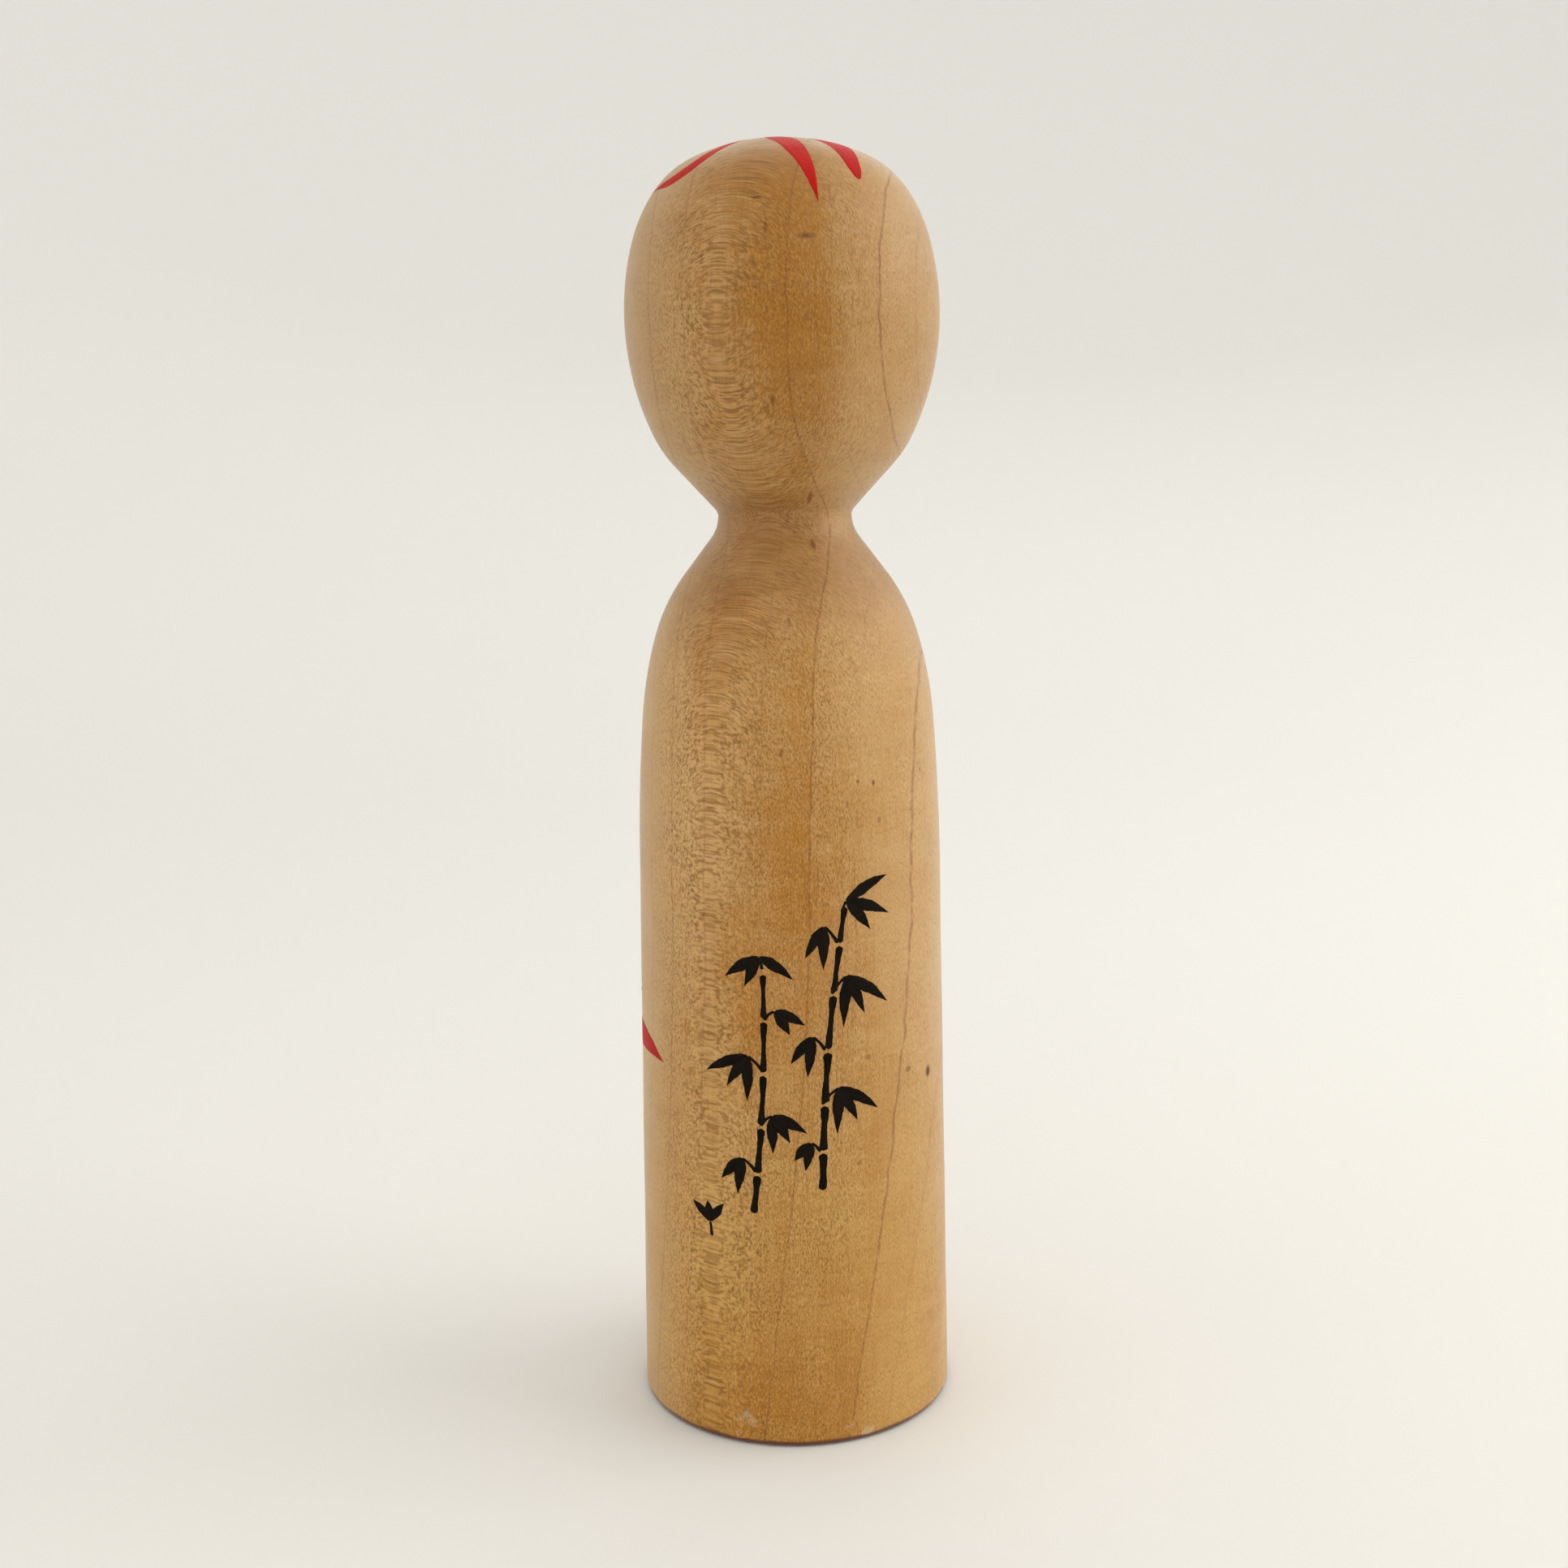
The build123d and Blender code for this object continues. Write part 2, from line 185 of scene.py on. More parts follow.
# ---------------------------------------------------------------- drawing planes
# A plane is its origin, its directions across and up, and the way out of the wood.


def facing(azimuth):
    """Upright plane through the axis that looks out at an azimuth."""
    a = rad(azimuth)
    across = np.array([math.cos(a), math.sin(a), 0.0])
    out = np.array([math.sin(a), -math.cos(a), 0.0])
    return np.zeros(3), across, np.array([0.0, 0.0, 1.0]), out


def from_above():
    """Level plane that looks down on the crown."""
    return np.zeros(3), np.array([1.0, 0, 0]), np.array([0, 1.0, 0]), np.array([0, 0, 1.0])


def brow_plane():
    """Tilted plane over the forehead, for the forelock."""
    t = rad(BROW_TILT)
    up = np.array([0, math.sin(t), math.cos(t)])
    out = np.array([0, -math.cos(t), math.sin(t)])
    return np.array(BROW_POINT), np.array([1.0, 0, 0]), up, out


def wrapped(points):
    """Plane and flat points for a stroke given as (girth, height) on the trunk."""
    middle = (points[0][0] + points[-1][0]) / 2 / TRUNK_RADIUS
    flat = [(TRUNK_RADIUS * math.sin(s / TRUNK_RADIUS - middle), z) for s, z in points]
    return facing(math.degrees(middle)), flat


def outside(p):
    """Distance by which points stand outside the turned surface, roughly."""
    azimuth = np.arctan2(p[..., 0], -p[..., 1])
    z = p[..., 2]
    return np.hypot(p[..., 0], p[..., 1]) - radius_at(z) - swell(azimuth, z)


def reach_of(out):
    """Nearest and farthest that the wood can lie along a plane's way out."""
    if abs(out[2]) > 0.9:
        return REACH_FROM_ABOVE
    if abs(out[2]) < 0.1:
        return REACH_FACING
    return REACH_TILTED


def on_wood(plane, flat, lift):
    """Points of a drawing carried straight back onto the wood, lifted along its normal."""
    origin, across, up, out = plane
    flat = np.asarray(flat, float)
    base = origin + flat[..., 0:1] * across + flat[..., 1:2] * up
    near, far = reach_of(out)
    low = np.full(flat.shape[:-1], near)
    high = np.full(flat.shape[:-1], far)
    for _ in range(HALVINGS):
        middle = (high + low) / 2
        clear = outside(base + middle[..., None] * out) > 0
        high = np.where(clear, middle, high)
        low = np.where(clear, low, middle)
    p = base + high[..., None] * out
    e = SLOPE_STEP
    grad = np.stack([outside(p + e * axis) - outside(p - e * axis) for axis in np.eye(3)], -1)
    normal = grad / np.maximum(np.linalg.norm(grad, axis=-1, keepdims=True), 1e-9)
    return p + np.asarray(lift)[..., None] * normal


# ---------------------------------------------------------------- mesh helpers


def new_mesh(name, vertices, faces):
    """Smooth-shaded mesh from points in mm."""
    mesh = bpy.data.meshes.new(name)
    mesh.from_pydata([tuple(v) for v in np.asarray(vertices) * MM], [], faces)
    mesh.update()
    mesh.polygons.foreach_set("use_smooth", [True] * len(mesh.polygons))
    return mesh


def add_object(name, mesh, material):
    obj = bpy.data.objects.new(name, mesh)
    bpy.context.scene.collection.objects.link(obj)
    obj.data.materials.append(material)
    return obj


def piece(name, mesh, material, node):
    """A shown piece that stands for a CAD node, in the material it is given; the CAD node is hidden."""
    obj = add_object(name, mesh, material)
    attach(obj, "root")
    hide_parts(node)


# ---------------------------------------------------------------- turned wood mesh


def lathe_rows():
    """Outline from the middle of the base over the foot, body, neck and head to the crown."""
    rows = [(r, DISH_DEPTH * share) for r, share in DISH_PROFILE]
    inner = FOOT_RADIUS - FOOT_ROUND
    rows.append((inner - FOOT_LAND, 0.0))
    for k in range(FOOT_STEPS + 1):
        angle = rad(-90 + 90 * k / FOOT_STEPS)
        rows.append((inner + FOOT_ROUND * math.cos(angle), FOOT_ROUND + FOOT_ROUND * math.sin(angle)))
    body, head = body_outline(ROW_STEP)[1:-1], head_outline(ROW_STEP)[1:]
    corner = np.array(HEAD_START)
    below = corner + CORNER_EASE * (body[-1] - corner)
    above = corner + CORNER_EASE * (head[0] - corner)
    rows += [tuple(p) for p in body]
    for t in (0.0, 0.25, 0.5, 0.75, 1.0):
        rows.append(tuple((1 - t) ** 2 * below + 2 * t * (1 - t) * corner + t**2 * above))
    rows += [tuple(p) for p in head]
    return rows


def lathe_marks(z):
    """Shallow turning rings left where the tool dwelt."""
    near_neck = math.exp(-((z - NECK_RINGS[0]) / NECK_RINGS[1]) ** 2)
    near_chin = math.exp(-((z - CHIN_RINGS[0]) / CHIN_RINGS[1]) ** 2)
    ring = 0.012 * math.sin(z * 5.2) + 0.008 * math.sin(z * 8.9 + 1.0)
    return ring * (0.15 + near_neck + 0.7 * near_chin)


def turned_wood_mesh():
    angles = 2 * np.pi * np.arange(SEGMENTS) / SEGMENTS
    azimuth = np.arctan2(np.cos(angles), -np.sin(angles))
    vertices, rings = [], []
    for r, z in lathe_rows():
        if r < 1e-6:
            rings.append([len(vertices)])
            vertices.append((0.0, 0.0, z))
            continue
        fade = min(1.0, r / UNEVEN_RADIUS) * min(1.0, z / UNEVEN_HEIGHT)
        rr = r + fade * (swell(azimuth, z) + lathe_marks(z))
        rings.append(list(range(len(vertices), len(vertices) + SEGMENTS)))
        for k in range(SEGMENTS):
            vertices.append((rr[k] * math.cos(angles[k]), rr[k] * math.sin(angles[k]), z))
    faces = []
    for low, high in zip(rings, rings[1:]):
        for k in range(SEGMENTS):
            n = (k + 1) % SEGMENTS
            if len(low) == 1:
                faces.append((low[0], high[n], high[k]))
            elif len(high) == 1:
                faces.append((low[k], low[n], high[0]))
            else:
                faces.append((low[k], low[n], high[n], high[k]))
    return new_mesh("turned_wood", vertices, faces)


# ---------------------------------------------------------------- brush strokes


def catmull(values, t):
    """Smooth curve through evenly numbered values at parameters t."""
    values = np.asarray(values, float)
    padded = np.concatenate([[2 * values[0] - values[1]], values, [2 * values[-1] - values[-2]]])
    i = np.clip(np.floor(t).astype(int), 0, len(values) - 2)
    u = t - i
    if values.ndim > 1:
        u = u[:, None]
    a, b, c, d = padded[i], padded[i + 1], padded[i + 2], padded[i + 3]
    square = (2 * a - 5 * b + 4 * c - d) * u**2
    cube = (3 * b - a - 3 * c + d) * u**3
    return 0.5 * (2 * b + (c - a) * u + square + cube)


def bezier(start, control, tip, count=9):
    """Points along a bent path from start to tip."""
    points = []
    for i in range(count):
        t = i / (count - 1)
        a, b, c = (1 - t) ** 2, 2 * t * (1 - t), t**2
        points.append(tuple(a * start[k] + b * control[k] + c * tip[k] for k in range(2)))
    return points


def drop_widths(widest, count=9, root=0.12, belly=0.65):
    """Widths of a petal: narrow at its root, widest at the belly, closing to its tip."""
    widths = []
    for i in range(count):
        t = i / (count - 1)
        if t < belly:
            part = root + (1 - root) * (t / belly) ** 1.25
        else:
            part = math.cos(rad(90) * (t - belly) / (1 - belly)) ** 0.8
        widths.append(widest * part if i < count - 1 else 0.0)
    return widths


def leaf_widths(widest, count=9):
    """Widths of a leaf that is pointed at its tip."""
    widths = [widest * math.sin(rad(180) * (i / (count - 1)) ** 0.8) for i in range(count)]
    widths[0] = 0.25 * widest
    widths[-1] = 0.0
    return widths


def mirrored(points):
    return [(-x, y) for x, y in points]


def crowded_ends(total, spacing):
    """Distances along a stroke, evenly spaced but closer together at both ends."""
    rows = max(8, int(total / spacing))
    s = total * (np.arange(rows + 1) / rows)
    ends = min(1.0, 3.0 / rows)
    return total * ((1 - ends) * s / total + ends * (1 - np.cos(np.pi * s / total)) / 2)


def round_cap(s, radius):
    """Share of the full width at distances s from a round end."""
    return np.sqrt(np.clip(1 - (1 - np.clip(s / radius, 0, 1)) ** 2, 0, 1))


class Brush:
    """Collects strokes as thin raised films on the wood and makes one mesh of them."""

    def __init__(self, name, seed, film=0.045, ragged=0.02, across=11):
        self.name, self.film, self.ragged, self.across = name, film, ragged, across
        self.random = random.Random(seed)
        self.vertices, self.faces, self.uv, self.tone = [], [], [], []
        self.count = 0

    def edge(self, s, phases):
        """Uneven width of one edge of a stroke, as a share of its half width."""
        wave = np.zeros_like(s)
        for k, frequency in enumerate(EDGE_WAVES):
            wave += np.sin(frequency * s + phases[k]) / (1.4 + 0.6 * k)
        return 1 + self.ragged * wave

    def stroke(self, plane, points, widths, spacing=0.28):
        """One stroke along flat points, with the brush width at each."""
        points, widths = np.asarray(points, float), np.asarray(widths, float)
        t = np.linspace(0, len(points) - 1, PATH_SAMPLES)
        path, half = catmull(points, t), np.maximum(catmull(widths, t), 0) / 2
        length = np.concatenate([[0], np.cumsum(np.linalg.norm(np.diff(path, axis=0), axis=1))])
        total = length[-1]
        s = crowded_ends(total, spacing)
        px, py = np.interp(s, length, path[:, 0]), np.interp(s, length, path[:, 1])
        half = np.interp(s, length, half) * round_cap(s, max(widths[0] / 2, 0.05))
        if widths[-1] > 0:
            half = half * round_cap(total - s, widths[-1] / 2)
        tx, ty = np.gradient(px, s), np.gradient(py, s)
        size = np.hypot(tx, ty)
        nx, ny = -ty / size, tx / size

        v = np.sin(np.linspace(-90, 90, self.across) * math.pi / 180)
        phases = [self.random.uniform(0, 6.28) for _ in range(2 * len(EDGE_WAVES))]
        left = self.edge(s, phases[:len(EDGE_WAVES)])
        right = self.edge(s, phases[len(EDGE_WAVES):])
        across = half[:, None] * np.where(v[None, :] < 0, left[:, None], right[:, None]) * v[None, :]
        flat = np.stack([px[:, None] + nx[:, None] * across, py[:, None] + ny[:, None] * across], -1)
        crown = 1 - np.abs(v) ** 6
        lift = self.film * crown[None, :] - RIM_SINK * (1 - crown[None, :]) + LAYER_LIFT * self.count
        self.add_film(plane, on_wood(plane, flat, np.broadcast_to(lift, across.shape)), s, v, half)

    def add_film(self, plane, p, s, v, half):
        """Vertices, faces and painted-on values of one stroke."""
        first = len(self.vertices)
        tone = self.random.random()
        for i in range(len(s)):
            for j in range(self.across):
                self.vertices.append(p[i, j])
                self.uv.append((s[i] / 10.0, 0.5 + 0.5 * v[j] * min(1.0, half[i] / 2.0)))
                self.tone.append((s[i] / s[-1], tone, abs(v[j]), 1.0))
        flip = np.dot(np.cross(plane[1], plane[2]), plane[3]) > 0
        for i in range(len(s) - 1):
            for j in range(self.across - 1):
                a = first + i * self.across + j
                quad = (a, a + self.across, a + self.across + 1, a + 1)
                self.faces.append(quad[::-1] if flip else quad)
        self.count += 1

    def mesh(self):
        mesh = new_mesh(self.name, self.vertices, self.faces)
        uv_layer = mesh.uv_layers.new(name="stroke")
        corners = np.zeros(len(mesh.loops), int)
        mesh.loops.foreach_get("vertex_index", corners)
        uv_layer.data.foreach_set("uv", np.array(self.uv)[corners].ravel())
        tone = mesh.color_attributes.new("ink", "FLOAT_COLOR", "POINT")
        tone.data.foreach_set("color", np.array(self.tone).ravel())
        return mesh


# ---------------------------------------------------------------- node helpers


class Nodes:
    """Short calls for shader nodes in one tree."""

    def __init__(self, tree):
        self.tree = tree

    def new(self, kind, **settings):
        node = self.tree.nodes.new(kind)
        for key, value in settings.items():
            setattr(node, key, value)
        return node

    def put(self, socket, value):
        if value is None:
            return
        if isinstance(value, bpy.types.NodeSocket):
            self.tree.links.new(value, socket)
        elif isinstance(value, (tuple, list)) and len(value) == 3 and socket.type == "RGBA":
            socket.default_value = (*value, 1.0)
        else:
            socket.default_value = value

    def math(self, op, a, b=None):
        node = self.new("ShaderNodeMath", operation=op)
        self.put(node.inputs[0], a)
        self.put(node.inputs[1], b)
        return node.outputs[0]

    def add(self, *terms):
        total = terms[0]
        for term in terms[1:]:
            total = self.math("ADD", total, term)
        return total

    def mul(self, *terms):
        total = terms[0]
        for term in terms[1:]:
            total = self.math("MULTIPLY", total, term)
        return total

    def sub(self, a, b):
        return self.math("SUBTRACT", a, b)

    def ramp(self, value, low, high, out_low=0.0, out_high=1.0):
        """Smooth step of a value between low and high, clamped beyond them."""
        node = self.new("ShaderNodeMapRange", interpolation_type="SMOOTHSTEP")
        for socket, v in zip(node.inputs, (value, low, high, out_low, out_high)):
            self.put(socket, v)
        return node.outputs[0]

    def vector(self, x, y, z):
        node = self.new("ShaderNodeCombineXYZ")
        for socket, value in zip(node.inputs, (x, y, z)):
            self.put(socket, value)
        return node.outputs[0]

    def stretch(self, parts, rates):
        """Vector of parts times rates, where a rate of None leaves its part as it is."""
        x, y, z = (part if rate is None else self.mul(part, rate) for part, rate in zip(parts, rates))
        return self.vector(x, y, z)

    def scaled(self, vector, factor):
        node = self.new("ShaderNodeVectorMath", operation="SCALE")
        self.put(node.inputs[0], vector)
        self.put(node.inputs["Scale"], factor)
        return node.outputs[0]

    def parts(self, vector):
        node = self.new("ShaderNodeSeparateXYZ")
        self.put(node.inputs[0], vector)
        return node.outputs

    def unit(self, vector):
        node = self.new("ShaderNodeVectorMath", operation="NORMALIZE")
        self.put(node.inputs[0], vector)
        return node.outputs[0]

    def dot(self, a, b):
        node = self.new("ShaderNodeVectorMath", operation="DOT_PRODUCT")
        self.put(node.inputs[0], a)
        self.put(node.inputs[1], b)
        return node.outputs["Value"]

    def noise(self, vector, detail=2.0, rough=0.5, scale=1.0):
        node = self.new("ShaderNodeTexNoise")
        self.put(node.inputs["Vector"], vector)
        self.put(node.inputs["Scale"], scale)
        self.put(node.inputs["Detail"], detail)
        self.put(node.inputs["Roughness"], rough)
        return node.outputs["Fac"]

    def sway(self, vector, detail=2.0, rough=0.5):
        """Noise about zero."""
        return self.sub(self.noise(vector, detail, rough), 0.5)

    def channel(self, colour, index):
        node = self.new("ShaderNodeSeparateColor")
        self.put(node.inputs[0], colour)
        return node.outputs[index]

    def mix(self, fac, a, b, blend="MIX"):
        node = self.new("ShaderNodeMix", data_type="RGBA", blend_type=blend)
        self.put(node.inputs["Factor"], fac)
        self.put(node.inputs[6], a)
        self.put(node.inputs[7], b)
        return node.outputs[2]

    def stops(self, fac, stops):
        """Colour ramp with (position, colour) stops."""
        node = self.new("ShaderNodeValToRGB")
        ramp = node.color_ramp
        while len(ramp.elements) > 1:
            ramp.elements.remove(ramp.elements[-1])
        ramp.elements[0].position = stops[0][0]
        ramp.elements[0].color = (*stops[0][1], 1)
        for position, colour in stops[1:]:
            ramp.elements.new(position).color = (*colour, 1)
        self.put(node.inputs[0], fac)
        return node.outputs[0]

    def bump(self, height, strength, distance):
        node = self.new("ShaderNodeBump")
        self.put(node.inputs["Strength"], strength)
        self.put(node.inputs["Distance"], distance)
        self.put(node.inputs["Height"], height)
        return node.outputs[0]

    def place(self):
        """Place on the object in mm, as a vector and as its parts."""
        p = self.scaled(self.new("ShaderNodeTexCoord").outputs["Object"], 1000.0)
        return p, self.parts(p)


def material(name):
    """New material, its node calls and its shader."""
    made = bpy.data.materials.new(name)
    made.use_nodes = True
    n = Nodes(made.node_tree)
    return made, n, made.node_tree.nodes["Principled BSDF"]


# ---------------------------------------------------------------- maple
RING_FROM, RING_TO = 44.0, 110.0
# Radius from the pith and strength of each year line that stands out.
YEAR_LINES = [(48.0, 0.45), (54.5, 0.5), (61.0, 0.6), (69.0, 0.45), (75.0, 0.25), (79.8, 0.4), (87.9, 1.0),
              (94.6, 0.3), (101.8, 1.0), (107.0, 0.4)]
LINE_WIDTH = 0.14


def year_ramp():
    """Stops that hold the line in red and the season, rising to each line, in green."""
    stops = [(0.0, (0.0, 0.3, 0.0))]
    w = LINE_WIDTH / (RING_TO - RING_FROM)
    for radius, strength in YEAR_LINES:
        at = (radius - RING_FROM) / (RING_TO - RING_FROM)
        stops.append((at - 1.6 * w, (0.0, 0.8 * strength, 0.0)))
        stops.append((at, (strength, strength, 0.0)))
        stops.append((at + w, (0.0, 0.0, 0.0)))
    return stops


def year_lines(n, girth, z, rho):
    """Strength of the year lines, and the season between them."""
    wobble = n.sway(n.stretch((girth, z, 3.0), (0.05, 0.05, None)), 3.0)
    tremble = n.sway(n.stretch((girth, z, 11.0), (0.12, 0.22, None)))
    foot_share = n.math("MAXIMUM", n.mul(n.sub(FOOT_TAPER_FROM, z), 1 / FOOT_TAPER_RUN), 0.0)
    low = n.mul(n.math("POWER", foot_share, FOOT_TAPER_POWER), FOOT_TAPER)
    high = n.ramp(z, 145.0, 200.0, 0.0, HEAD_TAPER)
    ring_place = n.sub(n.add(rho, n.mul(wobble, 1.4), n.mul(tremble, 0.7)), n.add(low, high))
    years = n.stops(n.math("DIVIDE", n.sub(ring_place, RING_FROM), RING_TO - RING_FROM), year_ramp())
    worn = n.noise(n.stretch((girth, z, 7.0), (0.8, 0.35, None)), 3.0, 0.7)
    return n.mul(n.channel(years, 0), n.ramp(worn, 0.36, 0.6, 0.25, 1.0)), n.channel(years, 1)


def maple_group():
    """Group that reads the place in the tree and gives the maple's figure as masks, with pale glints for
    painted highlights.
    """
    tree = bpy.data.node_groups.new("maple_figure", "ShaderNodeTree")
    n = Nodes(tree)
    p, (_, _, z) = n.place()
    ahead = n.add(n.dot(p, (*TO_DOLL, 0.0)), PITH_REACH)
    # the stem leans a little towards the head, which turns the rays there
    lean = n.ramp(z, 148.0, 208.0, 0.0, STEM_LEAN)
    aside = n.add(n.dot(p, (-TO_DOLL[1], TO_DOLL[0], 0.0)), lean)
    rho = n.math("SQRT", n.add(n.mul(ahead, ahead), n.mul(aside, aside)))
    girth = n.mul(n.math("ARCTAN2", aside, ahead), GIRTH_RADIUS)
    grain = (girth, z, rho)

    # rays: thin upright ribbons that run out from the pith and show broadside on a quartered face
    weave = n.sway(n.stretch(grain, WEAVE))
    shiver = n.sway(n.stretch(grain, SHIVER))
    across = n.add(girth, n.mul(weave, 0.8), n.mul(shiver, 0.10))
    ray_place = (across, n.add(z, n.mul(rho, 0.05)), rho)
    coarse = n.noise(n.stretch(ray_place, COARSE_RAYS), 1.0)
    fine = n.noise(n.stretch(ray_place, FINE_RAYS), 1.0)
    line, season = year_lines(n, *grain)
    masks = {
        "Flecks": n.ramp(coarse, 0.50, 0.66),
        "Ticks": n.ramp(fine, 0.52, 0.62),
        # Glints: pale spots at the low end of the ray noise, used as painted highlights.
        "Glints": n.ramp(n.add(n.mul(fine, 0.6), n.mul(coarse, 0.4)), 0.46, 0.32),
        "Fibre": n.sway(n.stretch(grain, FIBRE), 4.0, 0.65),
        "Line": line,
        "Season": season,
        "Cloud": n.noise(n.stretch(grain, CLOUD), 3.0, 0.55),
    }
    for name in masks:
        tree.interface.new_socket(name, in_out="OUTPUT", socket_type="NodeSocketFloat")
    out = n.new("NodeGroupOutput")
    for name, value in masks.items():
        n.put(out.inputs[name], value)
    return tree


# Small brown marks in the wood: azimuth, height, half width and half height in mm, depth of colour.
MARKS = [(173.5, 176.7, 0.45, 1.15, 0.7), (175.6, 168.2, 0.5, 1.0, 0.75), (164.3, 220.8, 0.7, 0.35, 0.85),
         (164.3, 220.8, 1.9, 0.6, 0.5),
         (146.5, 227.5, 0.9, 0.25, 0.8), (150.1, 222.4, 0.35, 1.1, 0.5), (181.4, 126.2, 0.3, 0.35, 0.75),
         (215.6, 68.4, 0.95, 1.2, 1.0), (202.5, 70.6, 0.75, 0.65, 0.6), (183.6, 74.9, 0.7, 0.55, 0.45),
         (156.6, 154.6, 0.3, 0.9, 0.4), (152.8, 131.9, 0.35, 0.8, 0.6), (151.6, 193.5, 0.4, 1.2, 0.6),
         (187.9, 125.7, 0.4, 0.5, 0.75), (214.2, 126.6, 0.3, 0.45, 0.7), (176.9, 122.2, 0.2, 0.9, 0.55),
         (153.1, 132.3, 0.3, 0.5, 0.55), (189.9, 118.8, 0.4, 0.6, 0.5), (179.4, 54.9, 0.5, 0.5, 0.4),
         (40.0, 132.0, 0.4, 0.8, 0.4), (-70.0, 88.0, 0.4, 1.0, 0.5), (-120.0, 201.0, 0.4, 1.0, 0.5)]


# How deep into the wood a mark reaches, in mm.
MARK_REACH = 12.0


def mark_mask(n, p):
    """Mask of the small marks, each an oval on the surface with a soft edge."""
    total = None
    for azimuth, z, wide, tall, depth in MARKS:
        a = rad(azimuth)
        r = float(radius_at(z))
        away = n.new("ShaderNodeVectorMath", operation="SUBTRACT")
        n.put(away.inputs[0], p)
        n.put(away.inputs[1], (r * math.sin(a), -r * math.cos(a), z))
        side = n.dot(away.outputs[0], (math.cos(a) / wide, math.sin(a) / wide, 0.0))
        inward = n.dot(away.outputs[0], (math.sin(a) / MARK_REACH, -math.cos(a) / MARK_REACH, 0.0))
        rise = n.dot(away.outputs[0], (0.0, 0.0, 1.0 / tall))
        far = n.add(n.mul(side, side), n.mul(rise, rise), n.mul(inward, inward))
        spot = n.ramp(far, 1.5, 0.15, 0.0, depth)
        total = spot if total is None else n.math("MAXIMUM", total, spot)
    return total


TAN = (0.605, 0.360, 0.136)
TAN_LOW = (0.61, 0.345, 0.088)
AMBER = (0.445, 0.176, 0.005)
BLUSH = (0.42, 0.17, 0.06)
GLINT_PALE = (0.74, 0.45, 0.18)
RAY_BROWN = (0.240, 0.102, 0.012)
LINE_BROWN = (0.190, 0.045, 0.010)
# Tint of the painted shade and dirt round the neck.
NECK_SHADE_AND_DIRT_TINT = (0.66, 0.56, 0.42)
MARK_BROWN = (0.17, 0.038, 0.003)
PIT_BLACK = (0.012, 0.006, 0.004)
SCUFF_PALE = (0.66, 0.52, 0.36)
RIM_BROWN = (0.10, 0.014, 0.010)
SHEEN_TINT = (1.0, 0.93, 0.80, 1.0)
AMBER_AZIMUTH = 148.0
HEART_AZIMUTH = 155.0
QUARTER_AZIMUTH = 138.0


def turned_to(n, flat, azimuth):
    """Cosine of the angle round the doll between a level direction and an azimuth."""
    a = rad(azimuth)
    return n.dot(flat, (math.sin(a), -math.cos(a), 0.0))


def wood_colour(n, masks, p, x, y, z):
    """Colour of clean wood: tan to amber, with its rays, year lines and a faint blush; the deeper amber on
    the side that the camera faces is partly painted shade, and the pale glints are painted highlights.
    """
    flat = n.unit(n.vector(x, y, 0.0))
    # Deeper amber towards AMBER_AZIMUTH, the side the camera faces: partly the wood's tone, partly painted
    # shade against the sheen-paled sides.
    side = n.ramp(turned_to(n, flat, AMBER_AZIMUTH), 0.66, 0.98, 0.0, 0.3)
    heart = n.ramp(turned_to(n, flat, HEART_AZIMUTH), 0.91, 1.0)
    heart = n.mul(heart, n.ramp(z, 168.0, 196.0, 0.12, 0.32))
    cloud = n.ramp(masks["Cloud"], 0.25, 0.75, 0.0, 0.52)
    curl = n.mul(n.sway(n.stretch((x, y, z), CURL), 3.0, 0.6), 0.6)
    foot = n.ramp(z, 75.0, 12.0, 0.0, 0.12)
    deep = n.add(cloud, side, heart, n.mul(masks["Season"], 0.12), n.mul(masks["Fibre"], 0.9), curl, foot)
    colour = n.mix(n.ramp(deep, 0.15, 1.2), n.mix(n.ramp(z, 95.0, 15.0), TAN, TAN_LOW), AMBER)

    quarter = n.ramp(turned_to(n, flat, QUARTER_AZIMUTH), 0.62, 0.9, 0.6, 1.0)
    patch = n.ramp(n.noise(n.scaled(p, 0.12)), 0.3, 0.65, 0.4, 0.78)
    colour = n.mix(n.mul(masks["Flecks"], patch, quarter), colour, RAY_BROWN)
    colour = n.mix(n.mul(masks["Ticks"], 0.5, quarter), colour, RAY_BROWN)
    # Painted highlights: pale glints beside the rays.
    colour = n.mix(n.mul(masks["Glints"], 0.3), colour, GLINT_PALE)
    colour = n.mix(n.mul(masks["Line"], 0.85), colour, LINE_BROWN)
    blush = n.ramp(n.noise(n.scaled(p, 0.05), 3.0), 0.5, 0.75, 0.0, 0.15)
    return n.mix(blush, colour, BLUSH)


def worn_and_shaded_colour(n, colour, p, z, scuff, rim):
    """The wood's colour with its marks, pale scuffs and dark foot rim, a darker head, and painted shade with
    some dirt round the neck.
    """
    # Greyer and darker round the shoulder, neck and under the chin: painted shade under the head, with some
    # dirt from handling.
    dirt_and_shade_patches = n.ramp(n.noise(n.scaled(p, 0.07)), 0.3, 0.6, 0.4, 1.0)
    neck_shade_and_dirt = n.mul(n.ramp(z, 140.0, 163.0), n.ramp(z, 181.0, 174.0), dirt_and_shade_patches)
    colour = n.mix(n.mul(neck_shade_and_dirt, 0.75), colour, NECK_SHADE_AND_DIRT_TINT, "MULTIPLY")
    marks = mark_mask(n, p)
    colour = n.mix(marks, colour, MARK_BROWN)
    colour = n.mix(n.ramp(marks, 0.86, 0.98), colour, PIT_BLACK)
    # The head is made a little darker than the body, from 150 mm up to 190 mm.
    shade = n.ramp(z, 150.0, 190.0, 1.0, 0.87)
    colour = n.mix(1.0, colour, n.vector(shade, shade, shade), "MULTIPLY")
    colour = n.mix(n.mul(scuff, 0.5), colour, SCUFF_PALE)
    return n.mix(n.mul(rim, 0.9), colour, RIM_BROWN)


